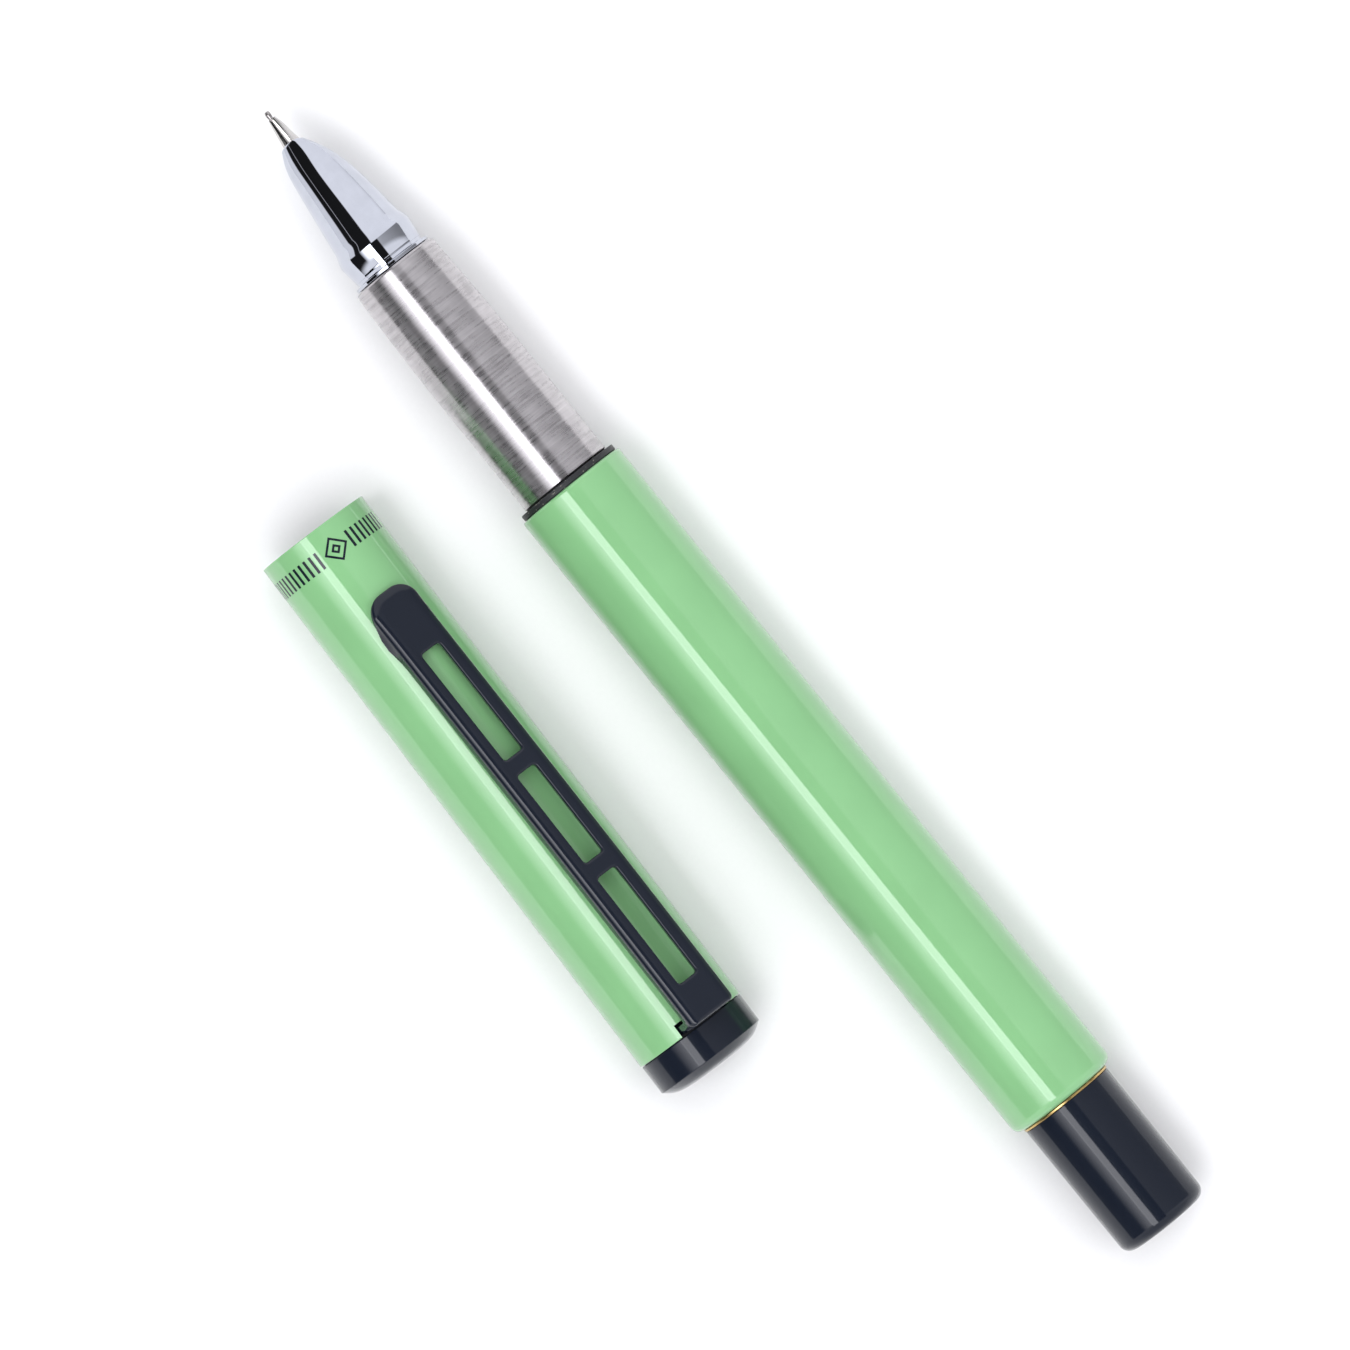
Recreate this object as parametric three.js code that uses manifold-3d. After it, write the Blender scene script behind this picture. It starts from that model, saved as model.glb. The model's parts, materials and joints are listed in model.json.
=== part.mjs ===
// A slip-cap fountain pen with a semi-hooded nib and a piston converter, lying beside its cap.
// Millimetres, +Z up. The pen lies along +X with its nib towards -X, and the cap lies on its -Y side
// with its mouth towards -X. The origin is the middle of the underside of the whole.

import * as THREE from 'three';
import { mergeVertices } from 'three/addons/utils/BufferGeometryUtils.js';
import Module from 'manifold-3d';

const wasm = await Module();
wasm.setup();

// Sides of the turned outer pieces and of the inner ones
const outerSides = 36;
const innerSides = 24;

// Clearances
const fit = 0.1; // radial, between pieces that seat in or slide on each other
const face = 0.05; // between two end faces that meet

// Wall thicknesses and radii, from the converter outwards
const converterRadius = 3.5;
const converterWall = 0.7;
const coreWall = 0.3;
const gripWall = 0.4;
const threadHeight = 0.4;
const bushWall = 0.3;
const barrelWall = 0.5;
const linerWall = 0.45;
const capWall = 0.3;

const coreBore = converterRadius + fit;
const coreRadius = coreBore + coreWall;
const gripBore = coreRadius + fit;
const gripRadius = gripBore + gripWall;
const threadRadius = coreRadius + threadHeight;
const bushBore = threadRadius + fit;
const bushRadius = bushBore + bushWall;
const barrelBore = bushRadius + fit;
const barrelRadius = barrelBore + barrelWall;
const linerBore = gripRadius + fit;
const linerRadius = linerBore + linerWall;
const capBore = linerRadius + fit;
const capRadius = capBore + capWall;
const jointRingRadius = capBore - face;
const tailRadius = linerBore - face;
const finialRadius = capRadius - 0.075;

// Lengths along the pen, in order from the nib's tip
const nibExposed = 3.4;
const hoodLength = 13.9;
const gripLength = 23.7;
const jointRingLength = 0.6;
const barrelLength = 67.9;
const tailLength = 14.2;

const gripFront = nibExposed + hoodLength;
const gripRear = gripFront + gripLength;
const barrelFront = gripRear + jointRingLength;
const barrelRear = barrelFront + barrelLength;
const tailEnd = barrelRear + tailLength;

// Feed side
const nibThickness = 0.2;
const nibRearRadius = 1.6;
const feedRadius = 1.27;
const collectorRadius = 2.35;
const collectorBore = nibRearRadius + fit;
const hoodBore = 2.5;
const hoodSpigotLength = 4.7;
const hoodRingWidth = 0.3;
const hoodGrooveWidth = 0.25;
const gripStepLength = 9.5;
const gripFrontRadius = gripRadius - 0.25;
const gripFrontBore = gripFrontRadius - 0.55;
const coreFrontWall = 0.35;
const hoodSpigotRadius = gripFrontBore - coreFrontWall - 2 * fit;
const hoodRingRadius = gripFrontRadius - 0.3;
const hoodRearRadius = hoodRingRadius - 0.165;
const hoodConeRadius = hoodRingRadius - 0.35;
const hoodGrooveRadius = hoodConeRadius - 0.2;
const nippleRadius = 1.3;
const nippleLength = 5.4;
const inkBore = 0.5;
const threadLength = 4.8;

// Converter
const pullRoom = 8;
const neckRadius = 2.6;
const chamberBore = converterRadius - converterWall;
const collarRadius = converterRadius + 0.05;
const collarLength = 18;
const collarOverTube = 4;
const knobLength = 13.7;
const knobRadius = converterRadius - 0.2;
const knurls = 8;
const spindleRadius = 1.9;
const rodRadius = 1.2;
const sealLength = 3.6;
const ballRadius = 0.8;

// Tail
const tailSpigotRadius = 3.5;
const tailSpigotLength = 3.2;
const tailRingThickness = 0.2;
const barrelCorner = 0.85;

// Cap
const capLength = 53.85;
const finialLength = 2.9;
const finialChamfer = 0.97;
const finialSpigotLength = 3.3;
const linerLength = 23.2;
const fingerLength = 6.5;
const innerCapBore = 4.1;
const screwRadius = 1.2;
const bracketDisc = 1.0;

// Clip
const clipLength = 45.9;
const clipWidth = 4.75;
const clipSheet = 0.6;
const clipRise = 3.1;
const clipMouthRise = 1.0;
const clipFlange = 1.5;
const windowWidth = 2.05;
const windowLengths = [11.6, 9.5, 11.45];
const windowGap = 1.65;
const clipFootLength = 6.3;
const clipRootDepth = 0.65; // how far the root reaches below the tube's surface

// How the two pieces lie
const penRoll = THREE.MathUtils.degToRad(20);
const capRoll = THREE.MathUtils.degToRad(-19);
const capYaw = THREE.MathUtils.degToRad(-1.65);
const capMouth = new THREE.Vector2(30.83, -19.94);

// ---- Building blocks ----

// A closed surface as a solid that can be joined and cut.
function solid(geometry) {
  geometry.deleteAttribute('normal');
  geometry.deleteAttribute('uv');
  const merged = mergeVertices(geometry, 1e-4);
  const index = merged.index.array;
  const triangles = [];
  for (let i = 0; i < index.length; i += 3) {
    const [a, b, c] = index.slice(i, i + 3);
    if (a !== b && b !== c && c !== a) triangles.push(a, b, c);
  }
  return new wasm.Manifold(new wasm.Mesh({
    numProp: 3,
    vertProperties: merged.attributes.position.array,
    triVerts: new Uint32Array(triangles),
  }));
}

// A turned body along +X. The outline is a list of [along, radius]. The section law, if there is
// one, gives each station's height as a share of its width, and how far its centre is raised.
function turned(outline, sides = outerSides, section = null) {
  const points = outline.map(([along, radius]) => new THREE.Vector2(radius, along));
  if (THREE.ShapeUtils.area(points) < 0) points.reverse();
  const lathe = new THREE.LatheGeometry(points, sides).rotateZ(-Math.PI / 2);
  if (section) {
    const place = lathe.attributes.position;
    for (let i = 0; i < place.count; i++) {
      const { share, raised } = section(place.getX(i));
      place.setZ(i, raised + share * place.getZ(i));
    }
  }
  return solid(lathe);
}

const sleeve = (start, end, inner, outer, sides) => turned(
  [[start, inner], [end, inner], [end, outer], [start, outer], [start, inner]], sides);

const rod = (start, end, radius, sides) => turned(
  [[start, 0], [start, radius], [end, radius], [end, 0]], sides);

// A box between limits on each axis, turned about X.
function block(x, y, z, turn = 0) {
  const box = new THREE.BoxGeometry(x[1] - x[0], y[1] - y[0], z[1] - z[0]);
  box.translate((x[0] + x[1]) / 2, (y[0] + y[1]) / 2, (z[0] + z[1]) / 2);
  return solid(box.rotateX(turn));
}

// A plate standing upright: its outline is in X and Z, and its thickness is centred on Y.
function upright(shape, width, curveSegments = 10) {
  const plate = new THREE.ExtrudeGeometry(shape, { depth: width, bevelEnabled: false, curveSegments });
  return solid(plate.translate(0, 0, -width / 2).rotateX(Math.PI / 2));
}

// A plate lying flat: its outline is in X and Y, between two heights.
function flat(shape, low, high, curveSegments = 4) {
  const plate = new THREE.ExtrudeGeometry(shape, {
    depth: high - low, bevelEnabled: false, curveSegments });
  return solid(plate.translate(0, 0, low));
}

// A quarter circle of outline points that rounds a turned body's corner.
function corner(along, radius, round, fromAngle, toAngle, steps = 4) {
  const points = [];
  for (let i = 0; i <= steps; i++) {
    const angle = THREE.MathUtils.lerp(fromAngle, toAngle, i / steps);
    points.push([along + round * Math.cos(angle), radius + round * Math.sin(angle)]);
  }
  return points;
}

// Straight-line reading of a list of stations [along, a, b, ...] at one place along the axis.
function between(stations, along) {
  const last = stations.length - 1;
  const next = stations.findIndex((station) => station[0] >= along);
  if (next <= 0) return stations[next < 0 ? last : 0].slice(1);
  const [low, high] = [stations[next - 1], stations[next]];
  const share = (along - low[0]) / (high[0] - low[0]);
  return low.slice(1).map((value, i) => THREE.MathUtils.lerp(value, high[i + 1], share));
}

const shifted = (stations, start) => stations.map(([along, ...rest]) => [start + along, ...rest]);

// Stations [along, half width, half height, height of the centre] as a section law.
const sectionLaw = (stations) => (along) => {
  const [width, height, centre] = between(stations, along);
  return { share: height / width, raised: centre };
};

// ---- Nib, feed and hood ----

// Stations counted from the hood's lip: radius of the blank, radius again, height of its centre.
const nibLaw = [
  [0.75 - nibExposed, 0.55, 0.55, 0.25],
  [0, 1.28, 1.28, -0.3],
  [4.6, nibRearRadius, nibRearRadius, 0],
  [9.8, nibRearRadius, nibRearRadius, 0],
];

function nib() {
  const stations = shifted(nibLaw, nibExposed);
  const law = sectionLaw(stations);
  const [front, rear] = [stations[0][0], stations.at(-1)[0]];
  const outside = stations.map(([along, radius]) => [along, radius]);
  const inside = outside.map(([along, radius]) => [along, radius - nibThickness]);
  inside[0][0] -= 1;
  inside.at(-1)[0] += 1;
  const blank = turned([[front, 0], ...outside, [rear, 0]], innerSides, law)
    .subtract(turned([[front - 1, 0], ...inside, [rear + 1, 0]], innerSides, law));
  const halfWidths = [[front, 0.36], [1.6, 0.46], [nibExposed, 0.8], [nibExposed + 1.6, 1.15],
    [nibExposed + 4.6, 1.5], [rear, 1.5]];
  const plan = new THREE.Shape([
    ...halfWidths.map(([along, half]) => new THREE.Vector2(along, -half)),
    ...halfWidths.reverse().map(([along, half]) => new THREE.Vector2(along, half)),
  ]);
  const breather = new THREE.CylinderGeometry(0.35, 0.35, 3, 16)
    .rotateX(Math.PI / 2).translate(nibExposed + 2.4, 0, 1.8);
  return blank.intersect(flat(plan, 0.3, 3))
    .subtract(solid(breather))
    .subtract(block([front - 1, nibExposed + 2.4], [-0.04, 0.04], [0, 3]));
}

// The hard pellet that is welded to the tip.
function nibTipping() {
  const pellet = new THREE.SphereGeometry(0.35, 12, 8).scale(1, 1, 0.8);
  return solid(pellet.translate(0.35, 0, 0.6));
}

function feed() {
  const stations = shifted([
    [-1, 0.25, 0.12, 0.5], [0, 0.62, 0.25, 0.42], [1, 0.85, 0.34, 0.42],
    [2.1, 1.05, 0.6, 0.35], [4.6, feedRadius, feedRadius, 0],
  ], nibExposed);
  const end = gripFront + 7.2;
  const outline = [[stations[0][0], 0], ...stations.map(([along, width]) => [along, width]),
    [end, feedRadius], [end, 0]];
  let body = turned(outline, innerSides, sectionLaw(stations));
  body = body.subtract(block([nibExposed + 1.5, end + 1], [-0.15, 0.15], [0.45, 2]));
  const fins = 6;
  for (let i = 0; i < fins; i++) {
    const start = nibExposed + 4.8 + i * 0.85;
    body = body.subtract(block([start, start + 0.4], [-2, 2], [-2, -0.55]));
  }
  return body;
}

function feedCollector() {
  const front = nibExposed + 5.8;
  const step = nibExposed + 10;
  const rear = gripFront + 4.2;
  const thin = nibRearRadius + 0.45;
  const outline = [[front, collectorBore], [front, thin], [step, thin], [step, collectorRadius]];
  const fins = 5;
  const pitch = (rear - step) / (fins + 0.5);
  for (let i = 0; i < fins; i++) {
    const start = step + (i + 0.5) * pitch;
    outline.push([start, collectorRadius], [start, collectorRadius - 0.45],
      [start + pitch / 2, collectorRadius - 0.45], [start + pitch / 2, collectorRadius]);
  }
  outline.push([rear, collectorRadius], [rear, feedRadius + fit], [step + 0.1, feedRadius + fit],
    [step + 0.1, collectorBore], [front, collectorBore]);
  return turned(outline, innerSides);
}

// Stations counted from the lip: half width, half height, height of the centre.
const hoodLaw = [
  [-0.4, 0.78, 0.3, 0.85], [0, 1.0, 0.42, 0.84], [0.55, 1.28, 0.7, 0.82], [1.3, 1.76, 1.12, 0.74],
  [2.1, 2.1, 1.52, 0.56], [3.0, 2.32, 2.0, 0.2], [3.9, 2.49, 2.32, -0.1], [5.2, 2.72, 2.6, -0.24],
  [7.2, 3.0, 2.95, -0.2], [9.2, 3.24, 3.23, -0.07], [10.6, 3.46, 3.46, 0],
  [11.2, hoodRearRadius, hoodRearRadius, 0],
];

function hood() {
  const stations = shifted(hoodLaw, nibExposed);
  const ringFront = gripFront - face - hoodRingWidth - face;
  const grooveFront = ringFront - face - hoodGrooveWidth;
  const spigotEnd = gripFront + hoodSpigotLength;
  const front = stations[0][0];
  const shell = turned([[front, 0], ...stations.map(([along, width]) => [along, width]),
    [grooveFront - 0.2, hoodConeRadius], [grooveFront, hoodConeRadius],
    [grooveFront, hoodGrooveRadius], [ringFront - face, hoodGrooveRadius],
    [ringFront - face, hoodSpigotRadius], [spigotEnd, hoodSpigotRadius], [spigotEnd, 0]],
  outerSides, sectionLaw(stations));
  const walls = [0.18, 0.18, 0.18, 0.18, 0.2, 0.25, 0.27, 0.3, 0.38];
  const hollow = walls.map((wall, i) => {
    const [along, width, height, centre] = stations[i];
    return [along, width - wall, height - wall, centre];
  });
  hollow[0][0] -= 0.5;
  hollow.push([stations[9][0], hoodBore, hoodBore, 0]);
  const bore = turned([[hollow[0][0], 0], ...hollow.map(([along, width]) => [along, width]),
    [spigotEnd + 1, hoodBore], [spigotEnd + 1, 0]], outerSides, sectionLaw(hollow));
  // The mouth is sliced at 45 degrees, its lip foremost above the nib.
  const lipHeight = 1.15;
  const slice = new THREE.Shape([
    new THREE.Vector2(nibExposed - 4 + lipHeight, 4), new THREE.Vector2(nibExposed - 6, 4),
    new THREE.Vector2(nibExposed - 6, -4), new THREE.Vector2(nibExposed + 4 + lipHeight, -4),
  ]);
  return shell.subtract(bore).subtract(upright(slice, 10));
}

const hoodRing = () => sleeve(gripFront - face - hoodRingWidth, gripFront - face,
  hoodSpigotRadius + fit, hoodRingRadius);

const hoodSeal = () => sleeve(gripFront, gripFront + 0.6,
  hoodSpigotRadius + fit, hoodRingRadius - 0.2);

// ---- Section ----

function gripSleeve() {
  const chamfer = 0.15;
  const recess = hoodRingRadius - 0.1;
  const bodyStart = gripFront + face;
  return turned([
    [bodyStart, recess], [bodyStart, gripFrontRadius - chamfer],
    [bodyStart + chamfer, gripFrontRadius], [gripFront + gripStepLength, gripRadius],
    [gripRear - chamfer, gripRadius], [gripRear, gripRadius - chamfer], [gripRear, gripBore],
    [gripFront + 12.7, gripBore], [gripFront + 12.7, gripFrontBore],
    [gripFront + 0.7, gripFrontBore], [gripFront + 0.7, recess], [bodyStart, recess],
  ]);
}

// The moulded core: it holds the hood and feed in front, the converter behind, and the thread.
const nippleBase = gripFront + 13.7;
const nippleEnd = nippleBase + nippleLength;
const threadFront = barrelFront + 0.4;
const threadRear = threadFront + threadLength;
const coreEnd = threadRear + 1.5;

function sectionCore() {
  const front = gripFront + 1;
  const shoulder = gripFront + 12.8;
  return turned([
    [front, hoodSpigotRadius + fit], [front, gripFrontBore - fit],
    [shoulder - face, gripFrontBore - fit], [shoulder + face, coreRadius],
    [threadFront, coreRadius], [threadFront, threadRadius], [threadRear, threadRadius],
    [threadRear, coreRadius], [coreEnd - 0.4, coreRadius], [coreEnd - 0.4, coreRadius + 0.2],
    [coreEnd, coreRadius + 0.2], [coreEnd, coreBore], [nippleBase, coreBore],
    [nippleBase, nippleRadius], [nippleEnd, nippleRadius], [nippleEnd, inkBore],
    [gripFront + 7.6, inkBore], [gripFront + 7.6, feedRadius + fit],
    [gripFront + hoodSpigotLength + fit, feedRadius + fit],
    [gripFront + hoodSpigotLength + fit, hoodSpigotRadius + fit], [front, hoodSpigotRadius + fit],
  ], innerSides);
}

const sectionORing = () => sleeve(threadRear + 0.15, coreEnd - 0.5, coreRadius + 0.05, bushBore - 0.05);

// A loose washer on the barrel's mouth, wide enough for the thread to pass through.
const jointRing = () => sleeve(gripRear + face, barrelFront - face, bushBore, jointRingRadius);

// ---- Barrel and tail ----

function barrelTube() {
  const edge = 0.25;
  const rearWall = 1.3;
  const quarter = Math.PI / 2;
  return turned([
    [barrelFront, barrelBore],
    ...corner(barrelFront + edge, barrelRadius - edge, edge, 2 * quarter, quarter, 2),
    ...corner(barrelRear - barrelCorner, barrelRadius - barrelCorner, barrelCorner, quarter, 0),
    [barrelRear, tailSpigotRadius + fit], [barrelRear - rearWall, tailSpigotRadius + fit],
    [barrelRear - rearWall, barrelBore], [barrelFront, barrelBore],
  ]);
}

const barrelThreadBush = () => sleeve(barrelFront + 0.3, coreEnd + 1.1, bushBore, bushRadius);

const tailTrimRing = () => sleeve(barrelRear + face, barrelRear + face + tailRingThickness,
  tailSpigotRadius + fit, tailRadius + 0.05);

function tailPlug() {
  const front = barrelRear + tailRingThickness + 2 * face;
  const round = 1;
  const taper = 0.075;
  const dome = 0.15;
  return turned([
    [barrelRear - tailSpigotLength, 0], [barrelRear - tailSpigotLength, tailSpigotRadius],
    [front, tailSpigotRadius], [front, tailRadius],
    ...corner(tailEnd - dome - round, tailRadius - taper - round, round, Math.PI / 2, 0, 5),
    [tailEnd, tailRadius / 3], [tailEnd, 0],
  ]);
}

const tailLockRing = () => sleeve(barrelRear - 2.7, barrelRear - 1.35,
  tailSpigotRadius + fit, barrelBore - fit, innerSides);

// ---- Converter ----

const converterFront = nippleBase + 0.3;
const chamberFront = converterFront + 6.7;
const knobEnd = barrelRear - tailSpigotLength - pullRoom - 0.3;
const knobFront = knobEnd - knobLength;
const collarFront = knobFront - 0.3 - collarLength;
const tubeEnd = collarFront + collarOverTube;
const spindleEnd = knobFront + 7.7;
const sealRear = collarFront - 1.4;

function converterTube() {
  const neckEnd = converterFront + 1.7;
  return turned([
    [converterFront, nippleRadius + fit], [converterFront, neckRadius], [neckEnd, neckRadius],
    [neckEnd + 0.6, converterRadius], [collarFront - face, converterRadius],
    [collarFront - face, converterRadius - 0.25], [tubeEnd, converterRadius - 0.25],
    [tubeEnd, chamberBore], [chamberFront + 1, chamberBore], [chamberFront, nippleRadius + fit],
    [converterFront, nippleRadius + fit],
  ], innerSides);
}

// The metal band is a sleeve with an inward wall behind the tube, which carries the spindle.
function converterCollar() {
  const bore = converterRadius - 0.15;
  return turned([
    [collarFront, bore], [collarFront, collarRadius], [collarFront + collarLength, collarRadius],
    [collarFront + collarLength, spindleRadius + fit], [tubeEnd + 1.4, spindleRadius + fit],
    [tubeEnd + 1.4, bore], [collarFront, bore],
  ], innerSides);
}

const converterEndBush = () => sleeve(collarFront + 0.5, tubeEnd - 0.3,
  spindleRadius + fit, chamberBore - fit, innerSides);

const converterSpindle = () => sleeve(collarFront, spindleEnd, rodRadius + fit, spindleRadius, innerSides);

function converterKnob() {
  let knob = turned([
    [knobFront, spindleRadius + fit], [knobFront, knobRadius], [knobEnd - 0.6, knobRadius],
    [knobEnd, knobRadius - 0.6], [knobEnd, 0], [knobEnd - 1, 0],
    [knobEnd - 1, rodRadius + fit], [spindleEnd + face, rodRadius + fit],
    [spindleEnd + face, spindleRadius + fit], [knobFront, spindleRadius + fit],
  ], innerSides);
  for (let i = 0; i < knurls; i++) {
    const flute = new THREE.CylinderGeometry(0.5, 0.5, knobLength - 3, 6)
      .rotateZ(Math.PI / 2).translate((knobFront + knobEnd) / 2, 0, knobRadius + 0.1)
      .rotateX(2 * Math.PI * i / knurls);
    knob = knob.subtract(solid(flute));
  }
  return knob;
}

const converterPistonRod = () => rod(sealRear + face, knobEnd - 1.4, rodRadius, innerSides);

function converterPistonSeal() {
  const lip = chamberBore - 0.06;
  const waist = chamberBore - 0.5;
  const front = sealRear - sealLength;
  return turned([
    [front - 0.4, 0], [front, waist - 0.5], [front, lip], [front + 0.8, lip], [front + 1.1, waist],
    [sealRear - 1.1, waist], [sealRear - 0.8, lip], [sealRear, lip], [sealRear, 0],
  ], innerSides);
}

// The loose ball stands on the chamber's lowest line, between the front wall and the piston.
function agitatorBall() {
  const drop = chamberBore - ballRadius - 0.1;
  const ball = new THREE.SphereGeometry(ballRadius, 12, 8).rotateX(Math.PI / 2);
  return solid(ball.translate(chamberFront + 3, -Math.sin(penRoll) * drop, -Math.cos(penRoll) * drop));
}

// ---- Cap: its own frame has the mouth at 0, the finial towards +X and the clip on +Z ----

const spigotFront = capLength - finialSpigotLength + 0.05;
const bracketFront = spigotFront - 0.1 - bracketDisc;
const innerCapFront = linerLength + 1;
const innerCapEnd = bracketFront - 0.1;
const slotWidth = clipWidth + 0.3;
const slotLength = 1.25;
const armTop = capRadius - clipRootDepth - 0.25;
const armBottom = armTop - 0.75;

function capTube() {
  const tube = sleeve(0, capLength, capBore, capRadius);
  const notch = block([capLength - slotLength, capLength + 1], [-slotWidth / 2, slotWidth / 2],
    [capRadius / 2, capRadius + 1]);
  return tube.subtract(notch);
}

// Slots in its mouth end leave springy fingers that grip the section, or the tail when posted.
function capLiner() {
  let liner = sleeve(0.8, 0.8 + linerLength, linerBore, linerRadius);
  for (let i = 0; i < 3; i++) {
    const across = [-capRadius, capRadius];
    liner = liner.subtract(block([0, fingerLength], [-0.3, 0.3], across, Math.PI * i / 3));
  }
  return liner;
}

function innerCap() {
  const floor = 1.5;
  return turned([
    [innerCapFront, innerCapBore], [innerCapFront, linerRadius], [innerCapEnd, linerRadius],
    [innerCapEnd, screwRadius + fit], [innerCapEnd - floor, screwRadius + fit],
    [innerCapEnd - floor, innerCapBore], [innerCapFront, innerCapBore],
  ], innerSides);
}

// A disc clamped behind the inner cap, with an arm that the clip's root hooks over.
function clipBracket() {
  const arm = block([bracketFront + 0.3, capLength - 0.5], [-1.5, 1.5], [armBottom, armTop]);
  const disc = sleeve(bracketFront, bracketFront + bracketDisc, screwRadius + fit, linerRadius,
    innerSides);
  return disc.add(arm);
}

function finial() {
  const front = capLength + 0.1;
  const step = capLength + finialLength;
  const end = step + finialChamfer;
  const bore = screwRadius + fit;
  const body = turned([
    [spigotFront, bore], [spigotFront, linerRadius], [front, linerRadius], [front, finialRadius],
    [step, finialRadius], [step + 0.62, 4.35], [step + 0.86, 3.6], [end, 2.55], [end, 0],
    [capLength + 0.7, 0], [capLength + 0.7, bore], [spigotFront, bore],
  ]);
  const half = slotWidth / 2;
  return body.subtract(block([spigotFront - 1, front], [-half, half], [armBottom - 0.2, capRadius]));
}

function finialScrew() {
  const headEnd = innerCapEnd - 1.55;
  const screw = turned([
    [headEnd - 0.9, 0], [headEnd - 0.9, 2], [headEnd - 0.2, 2.3], [headEnd, 2.3],
    [headEnd, screwRadius], [capLength + 0.5, screwRadius], [capLength + 0.5, 0],
  ], innerSides);
  return screw.subtract(block([headEnd - 2, headEnd - 0.45], [-0.25, 0.25], [-3, 3]));
}

// ---- Clip ----

const clipRootX = capLength - 0.1;
const clipMouthX = clipRootX - clipLength;

// The bowed line of the clip's back, lowered by a given depth.
function clipBack(depth = 0) {
  return new THREE.QuadraticBezierCurve(
    new THREE.Vector2(clipMouthX + 0.5, capRadius + clipMouthRise - depth),
    new THREE.Vector2(clipMouthX + 0.55 * clipLength, capRadius + clipRise - 0.45 - depth),
    new THREE.Vector2(clipRootX, capRadius + clipRise - depth));
}

function clip() {
  const back = clipBack();
  const [mouth, bend, root] = [back.v0, back.v1, back.v2];
  const footEnd = clipMouthX + clipFootLength + 0.5;
  const legFront = clipRootX - slotLength + 0.35;
  const legFoot = capRadius - clipRootDepth;
  const outline = new THREE.Shape().moveTo(root.x, root.y)
    .quadraticCurveTo(bend.x, bend.y, mouth.x, mouth.y)
    .quadraticCurveTo(clipMouthX, mouth.y - 0.05, clipMouthX, mouth.y - 0.35)
    .quadraticCurveTo(clipMouthX + 3.4, capRadius - 0.32, footEnd, capRadius + 0.4)
    .lineTo(footEnd + 0.6, capRadius + 0.1).lineTo(legFront, root.y - clipFlange)
    .lineTo(legFront, legFoot).lineTo(root.x, legFoot)
    .closePath();
  const underside = clipBack(clipSheet).getPoints(10)
    .filter((point) => point.x > footEnd && point.x < legFront);
  const channel = new THREE.Shape([new THREE.Vector2(underside[0].x, 0), ...underside,
    new THREE.Vector2(underside.at(-1).x, 0)]);
  let body = upright(outline, clipWidth).subtract(upright(channel, clipWidth - 2 * clipSheet));
  let start = clipMouthX + clipFootLength;
  for (const length of windowLengths) {
    body = body.subtract(flat(roundedSlot(start, start + length, windowWidth / 2, 0.3),
      capRadius + 0.6, capRadius + clipRise + 1));
    start += length + windowGap;
  }
  return body;
}

function roundedSlot(start, end, half, round) {
  return new THREE.Shape().moveTo(start + round, -half).lineTo(end - round, -half)
    .quadraticCurveTo(end, -half, end, -half + round).lineTo(end, half - round)
    .quadraticCurveTo(end, half, end - round, half).lineTo(start + round, half)
    .quadraticCurveTo(start, half, start, half - round).lineTo(start, -half + round)
    .quadraticCurveTo(start, -half, start + round, -half).closePath();
}

// ---- Materials ----

const material = (color, roughness, metalness, more = {}) => new THREE.MeshStandardMaterial(
  { color, roughness, metalness, ...more });
const greenLacquer = material(0x96d298, 0.25, 0.0);
const blackLacquer = material(0x1c242e, 0.2, 0.0);
const chrome = material(0xc5cbdc, 0.08, 1.0);
const brushedSteel = material(0xb0abb4, 0.35, 1.0);
const nibSteel = material(0xb8bcc4, 0.15, 1.0);
const hardMetal = material(0x8f8f94, 0.3, 1.0);
const brass = material(0xc9a55a, 0.3, 1.0);
const blackPlastic = material(0x16181c, 0.45, 0.0);
const greyPlastic = material(0x6f747a, 0.5, 0.0);
const clearPlastic = material(0xdfe8ee, 0.08, 0.0, { transparent: true, opacity: 0.4 });
const rubber = material(0x111214, 0.8, 0.0);
const speckled = material(0x24262a, 0.6, 0.0);

// ---- The scene ----

function group(parent, pieces) {
  for (const [name, body, finish] of pieces) {
    const { vertProperties, triVerts, numProp } = body.getMesh();
    const geometry = new THREE.BufferGeometry();
    geometry.setAttribute('position', new THREE.BufferAttribute(vertProperties, numProp));
    geometry.setIndex(new THREE.BufferAttribute(triVerts, 1));
    geometry.computeVertexNormals();
    const mesh = new THREE.Mesh(geometry, finish);
    mesh.name = name;
    parent.add(mesh);
  }
  return parent;
}

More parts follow.
